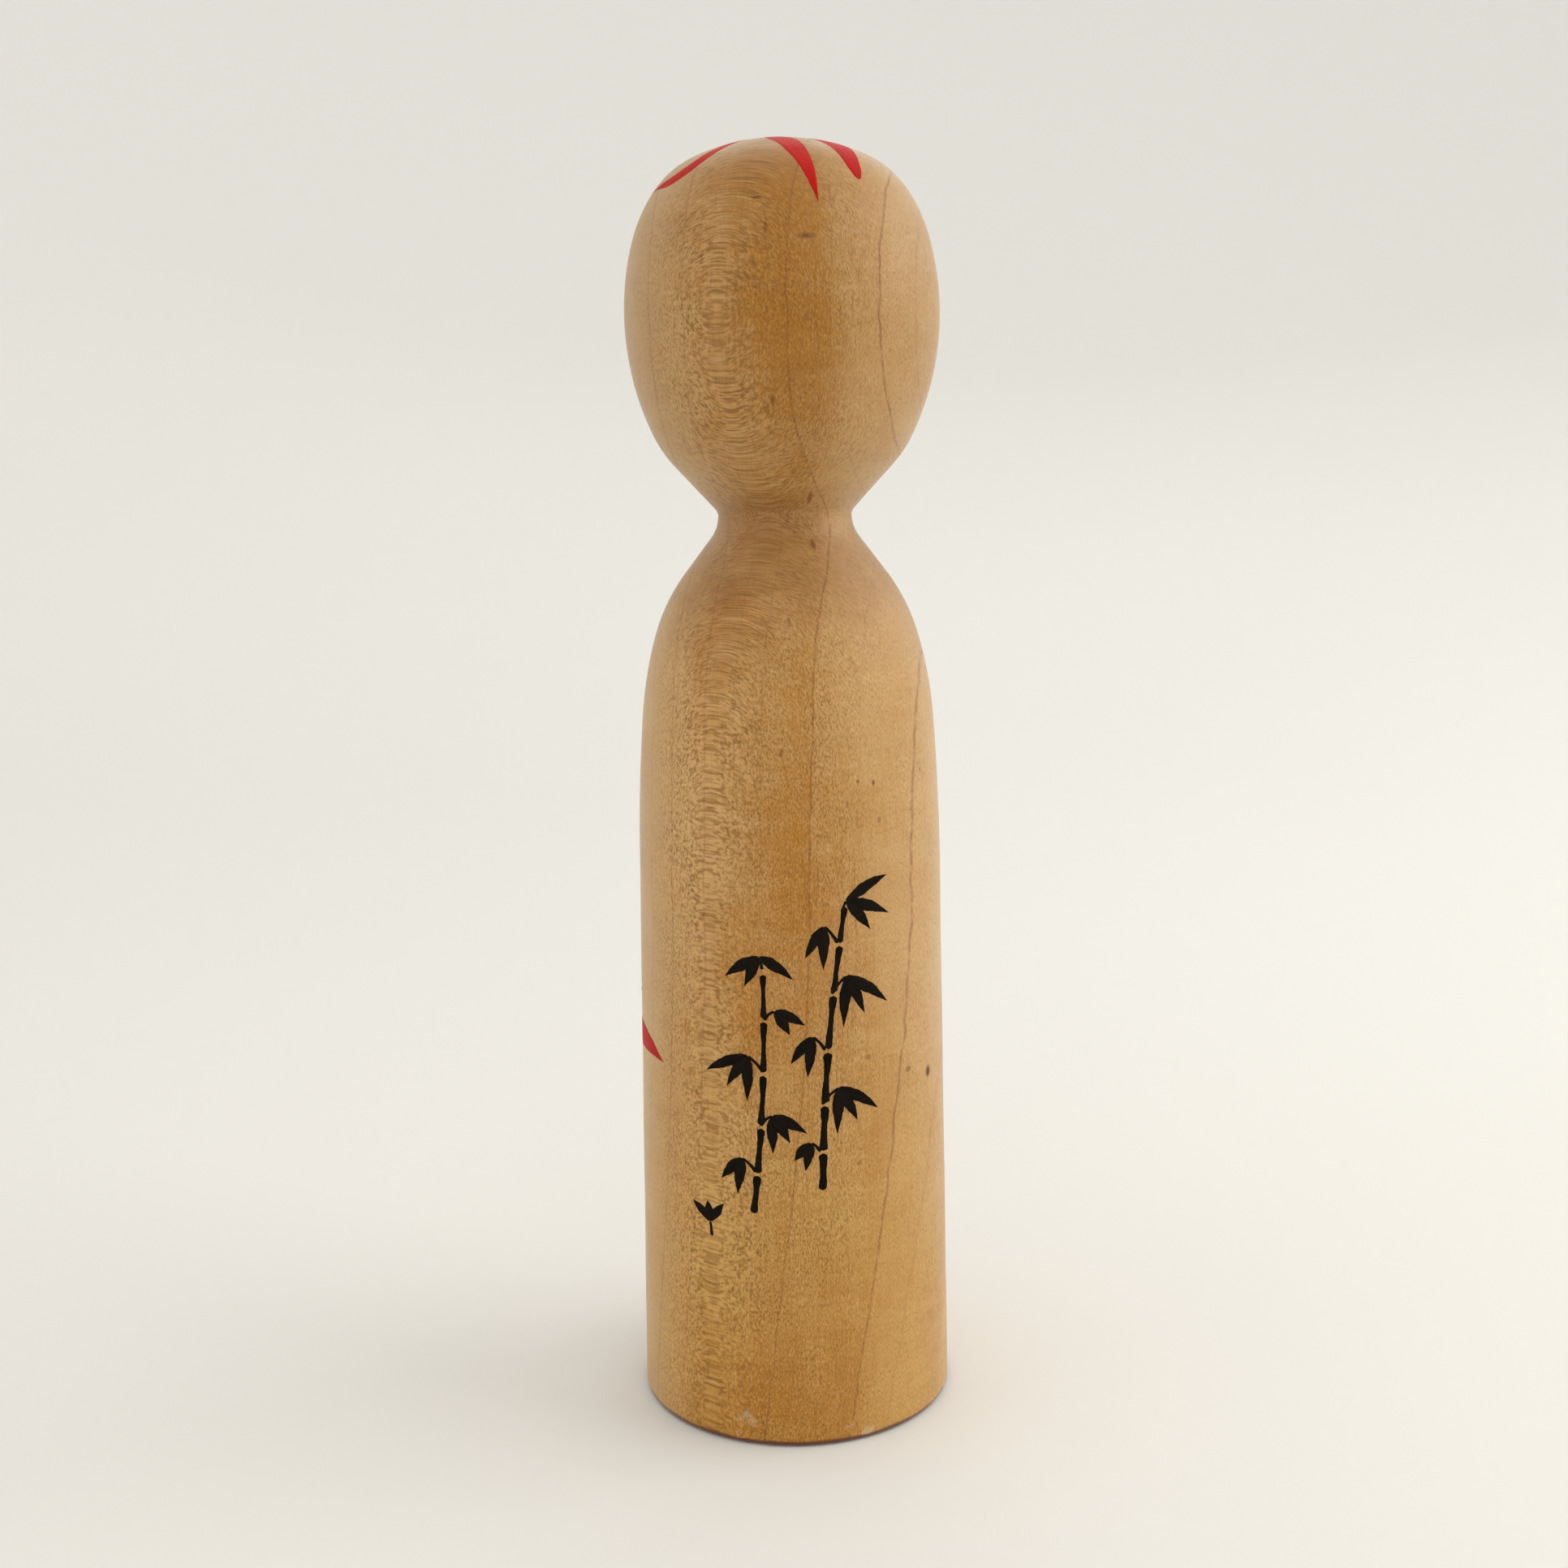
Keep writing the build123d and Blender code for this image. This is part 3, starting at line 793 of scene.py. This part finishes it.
def maple_material(figure):
    """Clear-waxed maple."""
    made, n, shader = material("waxed_maple")
    masks = n.new("ShaderNodeGroup", node_tree=figure).outputs
    p, (x, y, z) = n.place()
    rub = n.noise(n.stretch((x, y, z), RUB), 4.0, 0.65)
    low = n.ramp(z, 15.0, 2.5)
    scuff = n.mul(n.ramp(n.add(rub, n.mul(low, 0.10)), 0.68, 0.80), low)
    rim = n.ramp(n.add(z, n.mul(n.sub(rub, 0.5), 0.8)), 1.55, 0.85)
    colour = wood_colour(n, masks, p, x, y, z)
    n.put(shader.inputs["Base Color"], worn_and_shaded_colour(n, colour, p, z, scuff, rim))

    worn = n.ramp(n.noise(n.scaled(p, 0.08), 3.0), 0.3, 0.7, 0.36, 0.5)
    rough = n.add(worn, n.mul(scuff, 0.25), n.mul(masks["Flecks"], 0.06), n.mul(rim, 0.2))
    n.put(shader.inputs["Roughness"], rough)
    shader.inputs["IOR"].default_value = 1.5
    shader.inputs["Specular IOR Level"].default_value = 0.3
    shader.inputs["Coat Weight"].default_value = 0.16
    shader.inputs["Coat Roughness"].default_value = 0.25
    shader.inputs["Sheen Weight"].default_value = 0.38
    shader.inputs["Sheen Tint"].default_value = SHEEN_TINT
    shader.inputs["Sheen Roughness"].default_value = 0.35
    grit = n.noise(n.stretch((x, y, z), GRIT), 3.0, 0.6)
    height = n.add(n.mul(masks["Flecks"], -0.7), n.mul(masks["Ticks"], -0.5), n.mul(masks["Fibre"], 0.8),
                   n.mul(grit, 0.9), n.mul(masks["Line"], -1.0))
    n.put(shader.inputs["Normal"], n.bump(height, 0.5, 0.00005))
    return made


# ---------------------------------------------------------------- paints
PAINT_ROUGH = 0.42
# Slot: colours of a usual, a starved and a pooled film, how far the wood's figure shows, and gloss.
PAINT_COLOURS = {
    "red_dye": ((0.46, 0.0015, 0.002), (0.55, 0.020, 0.014), (0.28, 0.001, 0.001), 0.3, 0.08),
    "black_ink": ((0.007, 0.005, 0.004), (0.022, 0.015, 0.010), (0.003, 0.003, 0.002), 0.3, 0.08),
    "green_dye": ((0.026, 0.090, 0.024), (0.075, 0.165, 0.050), (0.012, 0.046, 0.014), 0.35, 0.1),
    "sumi_ink": ((0.004, 0.003, 0.002), (0.013, 0.009, 0.006), (0.002, 0.0015, 0.001), 0.2, 0.04),
}


def paint_material(name, figure, body, thin, thick, grain, gloss):
    """Dye or ink brushed on wood: streaks along the stroke, pooled edges, grain showing through."""
    made, n, shader = material(name)
    masks = n.new("ShaderNodeGroup", node_tree=figure).outputs
    along, across, _ = n.parts(n.new("ShaderNodeUVMap", uv_map="stroke").outputs[0])
    ink = n.new("ShaderNodeAttribute", attribute_name="ink").outputs["Color"]
    run, tone, edge = (n.channel(ink, k) for k in range(3))
    hairs = n.noise(n.stretch((along, across, tone), (1.4, 34.0, 40.0)), 3.0, 0.6)
    cloud = n.noise(n.stretch((along, across, tone), (2.5, 5.0, 17.0)))
    drying = n.ramp(run, 0.55, 1.0, 0.0, 0.12)
    load = n.add(n.mul(hairs, 0.5), n.mul(cloud, 0.5), n.mul(tone, 0.12), drying)
    colour = n.mix(n.ramp(load, 0.3, 0.85), thin, body)
    pooled = n.add(n.ramp(edge, 0.8, 0.99, 0.0, 0.55), n.ramp(run, 0.93, 1.0, 0.0, 0.3))
    colour = n.mix(pooled, colour, thick)
    wood = n.add(n.mul(masks["Flecks"], 0.7), n.mul(masks["Ticks"], 0.5), masks["Line"])
    n.put(shader.inputs["Base Color"], n.mix(n.mul(wood, grain), colour, thick))
    rough = n.add(n.mul(hairs, 0.14), PAINT_ROUGH, n.mul(masks["Ticks"], 0.05))
    n.put(shader.inputs["Roughness"], rough)
    shader.inputs["Specular IOR Level"].default_value = gloss
    shader.inputs["Coat Weight"].default_value = 0.2 * gloss
    shader.inputs["Coat Roughness"].default_value = 0.3
    _, xyz = n.place()
    grit = n.noise(n.stretch(xyz, GRIT), 3.0, 0.6)
    height = n.add(n.mul(grit, 0.7), n.mul(hairs, 0.5), n.mul(masks["Ticks"], -0.5))
    n.put(shader.inputs["Normal"], n.bump(height, 0.4, 0.00004))
    return made


figure = maple_group()
MAPLE = maple_material(figure)
PAINTS = {slot: paint_material(slot, figure, *look) for slot, look in PAINT_COLOURS.items()}

piece("turned_wood", turned_wood_mesh(), MAPLE, "turned_figure")

# ---------------------------------------------------------------- crown ribbons, hair and face
# Each stroke is its points on a drawing plane and the brush width at each.
RIBBON_BACK_LEFT = (
    [(3.4, 3.0), (4.3, 8.0), (4.6, 13.0), (4.95, 17.5), (4.85, 21.3), (4.7, 23.8), (4.66, 26.0)],
    [2.0, 4.2, 4.5, 3.9, 2.7, 1.6, 0.0])
RIBBON_BACK_RIGHT = (
    [(3.4, 3.0), (4.7, 8.0), (4.7, 13.0), (4.5, 17.0), (4.3, 20.0), (4.25, 22.0), (4.3, 23.6)],
    [2.4, 6.2, 5.9, 4.8, 3.7, 2.8, 1.1])
RIBBON_SIDE = (
    [(7.8, 2.8), (11.6, 5.0), (15.2, 6.7), (18.3, 7.1), (20.9, 6.0), (22.9, 2.7), (23.6, -3.8)],
    [1.4, 2.5, 3.0, 3.1, 2.5, 1.5, 0.0])
RIBBON_FRONT = (
    [(7.4, -1.6), (11.0, -3.6), (14.4, -6.4), (17.4, -9.6), (19.6, -13.0), (20.9, -16.8)],
    [1.6, 3.4, 4.4, 4.2, 2.8, 0.0])
SIDELOCK_AZIMUTH = 53.0
SIDELOCK_WIDTHS = [1.5, 2.5, 2.3, 0.0]
FORELOCK_WIDTHS = [1.5, 2.6, 3.4, 3.9, 3.9, 3.1, 0.9]

BROW = ([(4.4, 212.4), (8.2, 214.3), (12.2, 214.0), (15.6, 211.9)], [0.5, 1.1, 1.0, 0.0])
UPPER_LID = ([(4.6, 204.9), (7.8, 207.0), (11.4, 206.9), (14.8, 204.4)], [0.4, 1.0, 0.9, 0.0])
LOWER_LID = ([(6.4, 204.3), (9.4, 203.6), (12.4, 204.5)], [0.3, 0.6, 0.0])
PUPIL = ([(9.3, 203.7), (9.35, 205.2), (9.4, 206.8)], [1.0, 2.2, 1.2])
NOSE = ([(-1.7, 200.6), (-1.1, 198.9), (0.0, 198.4), (1.1, 198.9), (1.7, 200.6)], [0.3, 0.6, 0.7, 0.6, 0.0])
UPPER_LIP = ([(-2.5, 193.5), (0.0, 194.5), (2.5, 193.5)], [0.4, 1.0, 0.0])
LOWER_LIP = ([(-1.7, 192.5), (0.0, 191.9), (1.7, 192.5)], [0.3, 0.8, 0.0])
COLLAR = ([(11.2, 167.0), (8.4, 161.0), (4.0, 153.2), (-2.4, 145.6)], [1.4, 2.2, 2.2, 0.9])
COLLAR_LINE = ([(13.9, 163.6), (11.0, 156.8), (6.6, 149.2), (0.9, 141.9)], [0.7, 1.1, 1.1, 0.0])


def drawn(name, node, slot, plane, strokes, seed, **options):
    """A piece of brush strokes that are all drawn on one plane."""
    brush = Brush(name, seed, **options)
    for points, widths in strokes:
        brush.stroke(plane, points, widths)
    piece(name, brush.mesh(), PAINTS[slot], node)


def forelock_strokes():
    """Locks that fan out over the forehead, the outer ones laid first."""
    strokes = []
    for k in (-4, 4, -3, 3, -2, 2, -1, 1, 0):
        lean = k / 4
        root = (2.2 * lean, 14.5 - abs(lean))
        tip = (14.0 * lean, -16.4 + 2.8 * lean**2)
        strokes.append((bezier(root, (12.0 * lean, 5.0), tip, 7), FORELOCK_WIDTHS))
    return strokes


def sidelock_strokes():
    """Three locks that hang before the left ear."""
    strokes = []
    for k in range(3):
        path = [(-0.6 + 0.5 * k, 220.5), (-2.4 + 2.2 * k, 214.0), (-2.9 + 2.9 * k, 206.0 - k)]
        path.append((-1.6 + 2.4 * k, 196.5 + 2.0 * k))
        strokes.append((path, SIDELOCK_WIDTHS))
    return strokes


def sided(strokes, left):
    """Strokes as they are for the left side, mirrored for the right."""
    return strokes if left else [(mirrored(path), widths) for path, widths in strokes]


for number, side in enumerate(("left", "right")):
    left = side == "left"
    back = RIBBON_BACK_LEFT if left else RIBBON_BACK_RIGHT
    for part, ribbon in (("back", back), ("side", RIBBON_SIDE), ("front", RIBBON_FRONT)):
        drawn(f"ribbon_{part}_{side}", f"crown_ribbon_{part}_{side}", "red_dye", from_above(),
              sided([ribbon], left), 11 + number + len(part) * 7, ragged=0.012, across=17)
    temple = facing(SIDELOCK_AZIMUTH if left else -SIDELOCK_AZIMUTH)
    eye = [UPPER_LID, LOWER_LID, PUPIL]
    drawn(f"sidelock_hair_{side}", f"sidelock_{side}", "black_ink", temple,
          sided(sidelock_strokes(), left), 31 + number)
    drawn(f"brow_line_{side}", f"brow_{side}", "black_ink", facing(0), sided([BROW], left), 41 + number)
    drawn(f"eye_lines_{side}", f"eye_{side}", "black_ink", facing(0), sided(eye, left), 51 + number)
    drawn(f"collar_strokes_{side}", f"collar_{side}", "red_dye", facing(0),
          sided([COLLAR, COLLAR_LINE], left), 61 + number, film=0.045 if left else 0.03)
drawn("forelock_hair", "forelock", "black_ink", brow_plane(), forelock_strokes(), 71)
drawn("nose_line", "nose", "black_ink", facing(0), [NOSE], 81)
drawn("mouth_strokes", "mouth", "red_dye", facing(0), [UPPER_LIP, LOWER_LIP], 91)

# ---------------------------------------------------------------- chrysanthemums
# Start, control point and tip as (girth, height) on the trunk, and the widest width.
UPPER_PETALS = [
    ((1.5, 108.0), (4.8, 125.0), (12.2, 135.5), 5.4),
    ((2.8, 106.8), (11.4, 124.0), (22.0, 129.5), 5.2),
    ((3.8, 105.0), (18.5, 119.0), (30.5, 117.0), 4.8),
]
UPPER_CENTRE = ((0.0, 108.6), (0.0, 122.0), (0.0, 138.5), 5.6)
LOWER_PETALS = [
    ((1.7, 62.6), (4.6, 80.0), (13.4, 93.0), 6.2),
    ((3.2, 61.4), (12.0, 81.0), (26.0, 88.5), 6.0),
    ((4.5, 59.4), (20.5, 78.5), (36.0, 82.0), 5.0),
]
LOWER_CENTRE = ((0.0, 63.2), (0.0, 78.0), (0.0, 96.0), 6.4)
LONG_PETAL = ((5.2, 56.4), (29.0, 81.0), (51.6, 71.4), 5.6)
UPPER_LEAVES = [
    ((4.6, 100.5), (17.0, 110.0), (27.5, 104.0), 2.6),
    ((3.6, 98.2), (15.0, 103.5), (24.0, 96.5), 2.4),
]
LOWER_LEAVES = [
    ((4.6, 48.5), (22.0, 62.0), (35.5, 55.5), 3.2),
    ((3.8, 44.5), (19.0, 50.5), (31.5, 41.5), 3.0),
    ((2.8, 40.5), (12.5, 41.5), (21.5, 30.0), 2.8),
]
STEM = ([(0.0, 49.5), (0.7, 38.0), (-0.4, 26.0), (0.3, 13.0)], [1.8, 1.4, 1.3, 0.6])
GRASS = [((1.5, 12.0), (7.0, 17.5), (14.5, 21.5), 2.0), ((2.4, 9.5), (10.0, 12.0), (20.5, 12.5), 2.0)]


def trunk_piece(name, node, slot, strokes, seed, **options):
    """A piece of strokes given as (girth, height) paths with widths."""
    brush = Brush(name, seed, **options)
    for path, widths in strokes:
        plane, flat = wrapped(path)
        brush.stroke(plane, flat, widths)
    piece(name, brush.mesh(), PAINTS[slot], node)


def one(petal, widths_of):
    """Path and widths of one petal or leaf."""
    start, control, tip, widest = petal
    return bezier(start, control, tip), widths_of(widest)


def both_sides(petals, widths_of):
    """Each petal or leaf followed by its mirror image."""
    made = []
    for petal in petals:
        path, widths = one(petal, widths_of)
        made += [(path, widths), (mirrored(path), widths)]
    return made


BLOOMS = [("upper", UPPER_PETALS, UPPER_CENTRE, 101), ("lower", LOWER_PETALS, LOWER_CENTRE, 111)]
for place, petals, centre, seed in BLOOMS:
    bloom = both_sides(petals, drop_widths) + [one(centre, drop_widths)]
    trunk_piece(f"{place}_bloom_petals", f"{place}_bloom", "red_dye", bloom, seed, across=15)
for seed, side in ((121, "left"), (122, "right")):
    strokes = sided([one(LONG_PETAL, drop_widths)], side == "left")
    trunk_piece(f"long_petal_stroke_{side}", f"long_petal_{side}", "red_dye", strokes, seed, across=15)
trunk_piece("upper_leaf_strokes", "upper_leaves", "green_dye", both_sides(UPPER_LEAVES, leaf_widths), 131)
trunk_piece("lower_leaf_strokes", "lower_leaves", "green_dye", both_sides(LOWER_LEAVES, leaf_widths), 141)
trunk_piece("grass_strokes", "grass", "green_dye", both_sides(GRASS, leaf_widths), 151)
trunk_piece("stem_stroke", "stem", "green_dye", [STEM], 161)

# ---------------------------------------------------------------- ink bamboo at the back


def culm(foot, top, bow, joints, width):
    """Stem of bamboo from foot to top: one stroke between each two joints."""
    strokes = []
    for low, high in zip(joints, joints[1:]):
        path = []
        for share in (low, (low + high) / 2, low + (high - low) * 0.94):
            x = foot[0] + (top[0] - foot[0]) * share + bow * math.sin(rad(180) * share)
            path.append((x, foot[1] + (top[1] - foot[1]) * share))
        thin = width * (1 - 0.35 * high)
        strokes.append((path, [thin * 1.05, thin * 0.7, thin * 1.15]))
    return strokes


def twig(root, angle, length, leaves, reach, width=2.1):
    """Twig at an angle with a leaf for each heading in leaves, in degrees."""
    end = (root[0] + length * math.cos(rad(angle)), root[1] + length * math.sin(rad(angle)))
    middle = ((root[0] + end[0]) / 2, (root[1] + end[1]) / 2 + 0.3)
    strokes = [([root, middle, end], [0.8, 0.5, 0.6])]
    for k, way in enumerate(leaves):
        size = reach * (1.0 - 0.16 * (k % 2))
        tip = (end[0] + size * math.cos(rad(way)), end[1] + size * math.sin(rad(way)))
        bend = ((end[0] + tip[0]) / 2, (end[1] + tip[1]) / 2 + 0.10 * size)
        strokes.append((bezier(end, bend, tip, 7), leaf_widths(width, 7)))
    return strokes


TALL = culm((5.2, 50.5), (9.4, 101.0), -0.9, [0.0, 0.15, 0.33, 0.53, 0.74, 0.92, 1.06], 1.9)
TALL += twig((9.3, 102.5), 70, 2.2, [-22, -52, 28], 8.6)
TALL += twig((8.5, 97.0), 128, 4.0, [268, 238], 8.0)
TALL += twig((7.2, 87.6), 48, 4.2, [-38, -66, -94], 9.6)
TALL += twig((6.0, 77.2), 132, 3.4, [262, 230], 7.6)
TALL += twig((5.2, 67.0), 42, 4.2, [-34, -62, -92], 8.8)
TALL += twig((4.9, 58.0), 136, 2.4, [258, 226], 5.4)
SHORT = culm((-7.6, 46.0), (-5.2, 92.0), 0.8, [0.0, 0.17, 0.37, 0.59, 0.81, 1.0], 1.7)
SHORT += twig((-5.3, 92.4), 104, 2.4, [212, 244, -34], 7.4)
SHORT += twig((-5.2, 83.0), 40, 2.6, [-26, -58], 6.2)
SHORT += twig((-5.4, 73.2), 134, 4.0, [268, 236, 204], 8.6)
SHORT += twig((-6.2, 63.0), 40, 3.0, [-28, -58, -90], 7.2)
SHORT += twig((-7.0, 54.0), 136, 3.6, [262, 228], 7.0)
SHOOT = twig((-15.6, 40.4), 96, 2.8, [56, 96, 134], 4.8, 1.6)

BAMBOO = [("bamboo_tall", TALL, 171), ("bamboo_short", SHORT, 181), ("bamboo_shoot", SHOOT, 191)]
for name, strokes, seed in BAMBOO:
    drawn(name + "_ink", name, "sumi_ink", facing(BACK_AZIMUTH), strokes, seed,
          film=0.03, ragged=0.085, across=9)

# ---------------------------------------------------------------- camera
CAMERA_DISTANCE = 0.3498
CAMERA_HEIGHT = 0.1777
CAMERA_PITCH = -9.34
CAMERA_ROLL = 0.84
SENSOR_WIDTH = 36.0
LENS = 41.906832
LENS_SHIFT = (-0.0031055901, 0.0053830228)


def camera_axes():
    """Level directions from the doll to the camera, and to the camera's right."""
    _, right, _, out = facing(BACK_AZIMUTH)
    return out, right


def make_camera():
    out, right = camera_axes()
    pitch = rad(CAMERA_PITCH)
    forward = Vector(-out * math.cos(pitch)) + Vector((0, 0, math.sin(pitch)))
    side = Vector(right)
    up = side.cross(forward)
    roll = Matrix.Rotation(rad(CAMERA_ROLL), 3, forward)
    side, up = roll @ side, roll @ up
    data = bpy.data.cameras.new("camera")
    data.sensor_width = SENSOR_WIDTH
    data.sensor_fit = "HORIZONTAL"
    data.lens = LENS
    data.shift_x, data.shift_y = LENS_SHIFT
    data.clip_start = 0.01
    camera = bpy.data.objects.new("camera", data)
    bpy.context.scene.collection.objects.link(camera)
    place = Vector(out * CAMERA_DISTANCE) + Vector((0, 0, CAMERA_HEIGHT))
    turn = Matrix((side, up, -forward)).transposed()
    camera.matrix_world = Matrix.Translation(place) @ turn.to_4x4()
    bpy.context.scene.camera = camera


make_camera()

# ---------------------------------------------------------------- studio
LAMP_COLOUR = (1.0, 0.985, 0.95)
DOLL_MIDDLE = (0.0, 0.0, 0.12)
DOLL_FOOT = (0.0, 0.0, 0.02)
# Name, place (to the camera's right, towards the camera, up), size, power and aim.
LAMPS = [
    ("key", (1.0, 0.05, 0.74), (0.95, 0.95), 5.5, DOLL_MIDDLE),
    ("fill", (-1.05, 0.35, 0.55), (0.9, 0.9), 0.8, DOLL_MIDDLE),
    ("top", (0.0, -0.2, 1.5), (1.2, 1.2), 1.5, DOLL_MIDDLE),
    ("front", (0.0, 1.1, 1.0), (1.2, 0.8), 1.2, DOLL_FOOT),
    ("rim", (1.15, -0.75, 0.55), (0.7, 0.9), 1.1, DOLL_MIDDLE),
    ("back", (0.2, -1.1, 0.95), (1.0, 0.8), 1.3, DOLL_MIDDLE),
]
# Four lamps that light the wall: radius and height of the lamps and of their aims.
WASH_LAMP = (0.75, 1.7)
WASH_AIM = (2.4, 1.2)
WASH_SIZE = (1.2, 1.2)
WASH_POWER = 0.8
SKY_COLOUR = (1.0, 0.99, 0.96, 1.0)
SKY_STRENGTH = 0.82
# Radius of the flat floor, radius of the bend up into the wall, and steps round.
SWEEP_FLAT = 0.7
SWEEP_BEND = 1.5
SWEEP_STEPS = 96


def paper_material():
    """Pale matt paper, a little brighter far from the doll: painted light that brightens the wall."""
    made, n, shader = material("studio_paper")
    p = n.new("ShaderNodeTexCoord").outputs["Object"]
    # Paler far from the doll: painted light on the wall.
    far = n.ramp(n.math("SQRT", n.dot(p, p)), 0.5, 2.2)
    near_tone = n.mix(n.noise(p, scale=3.0), (0.80, 0.79, 0.755), (0.82, 0.81, 0.78))
    n.put(shader.inputs["Base Color"], n.mix(far, near_tone, (0.88, 0.87, 0.85)))
    shader.inputs["Roughness"].default_value = 0.85
    n.put(shader.inputs["Normal"], n.bump(n.noise(p, 3.0, scale=900.0), 0.15, 0.0002))
    return made


def sweep_mesh():
    """Floor that curves up into a round wall, so that every view has a plain ground."""
    rows = [(0.35, 0.0), (SWEEP_FLAT, 0.0)]
    for angle in range(5, 86, 5):
        a = rad(angle)
        rows.append((SWEEP_FLAT + SWEEP_BEND * math.sin(a), SWEEP_BEND - SWEEP_BEND * math.cos(a)))
    rows += [(2.3, 2.0), (2.35, 2.6)]
    vertices, faces = [(0.0, 0.0, 0.0)], []
    for r, z in rows:
        for k in range(SWEEP_STEPS):
            a = 2 * math.pi * k / SWEEP_STEPS
            vertices.append((r * math.cos(a) / MM, r * math.sin(a) / MM, z / MM))
    for k in range(SWEEP_STEPS):
        faces.append((0, 1 + k, 1 + (k + 1) % SWEEP_STEPS))
    for row in range(len(rows) - 1):
        inner, outer = 1 + row * SWEEP_STEPS, 1 + (row + 1) * SWEEP_STEPS
        for k in range(SWEEP_STEPS):
            n = (k + 1) % SWEEP_STEPS
            faces.append((inner + k, outer + k, outer + n, inner + n))
    return new_mesh("sweep", vertices, faces)


def area_light(name, place, size, power, aim):
    data = bpy.data.lights.new(name, "AREA")
    data.shape = "RECTANGLE"
    data.size, data.size_y = size
    data.energy = power
    data.color = LAMP_COLOUR
    light = bpy.data.objects.new(name, data)
    bpy.context.scene.collection.objects.link(light)
    light.location = place
    way = Vector(aim) - Vector(place)
    light.rotation_euler = way.to_track_quat("-Z", "Y").to_euler()


def studio():
    """Lamps, sky and view transform."""
    out, right = camera_axes()
    up = np.array([0, 0, 1.0])
    for name, (to_right, to_camera, height), size, power, aim in LAMPS:
        place = right * to_right + out * to_camera + up * height
        area_light(name, tuple(place), size, power, aim)
    for k in range(4):
        _, _, _, way = facing(BACK_AZIMUTH + 45 + 90 * k)
        place, aim = (tuple(way * radius + up * height) for radius, height in (WASH_LAMP, WASH_AIM))
        area_light(f"wash_{k}", place, WASH_SIZE, WASH_POWER, aim)
    world = bpy.data.worlds.new("studio")
    world.use_nodes = True
    sky = world.node_tree.nodes["Background"]
    sky.inputs[0].default_value = SKY_COLOUR
    sky.inputs[1].default_value = SKY_STRENGTH
    bpy.context.scene.world = world
    bpy.context.scene.view_settings.view_transform = "Standard"


floor = add_object("sweep", sweep_mesh(), paper_material())
studio()
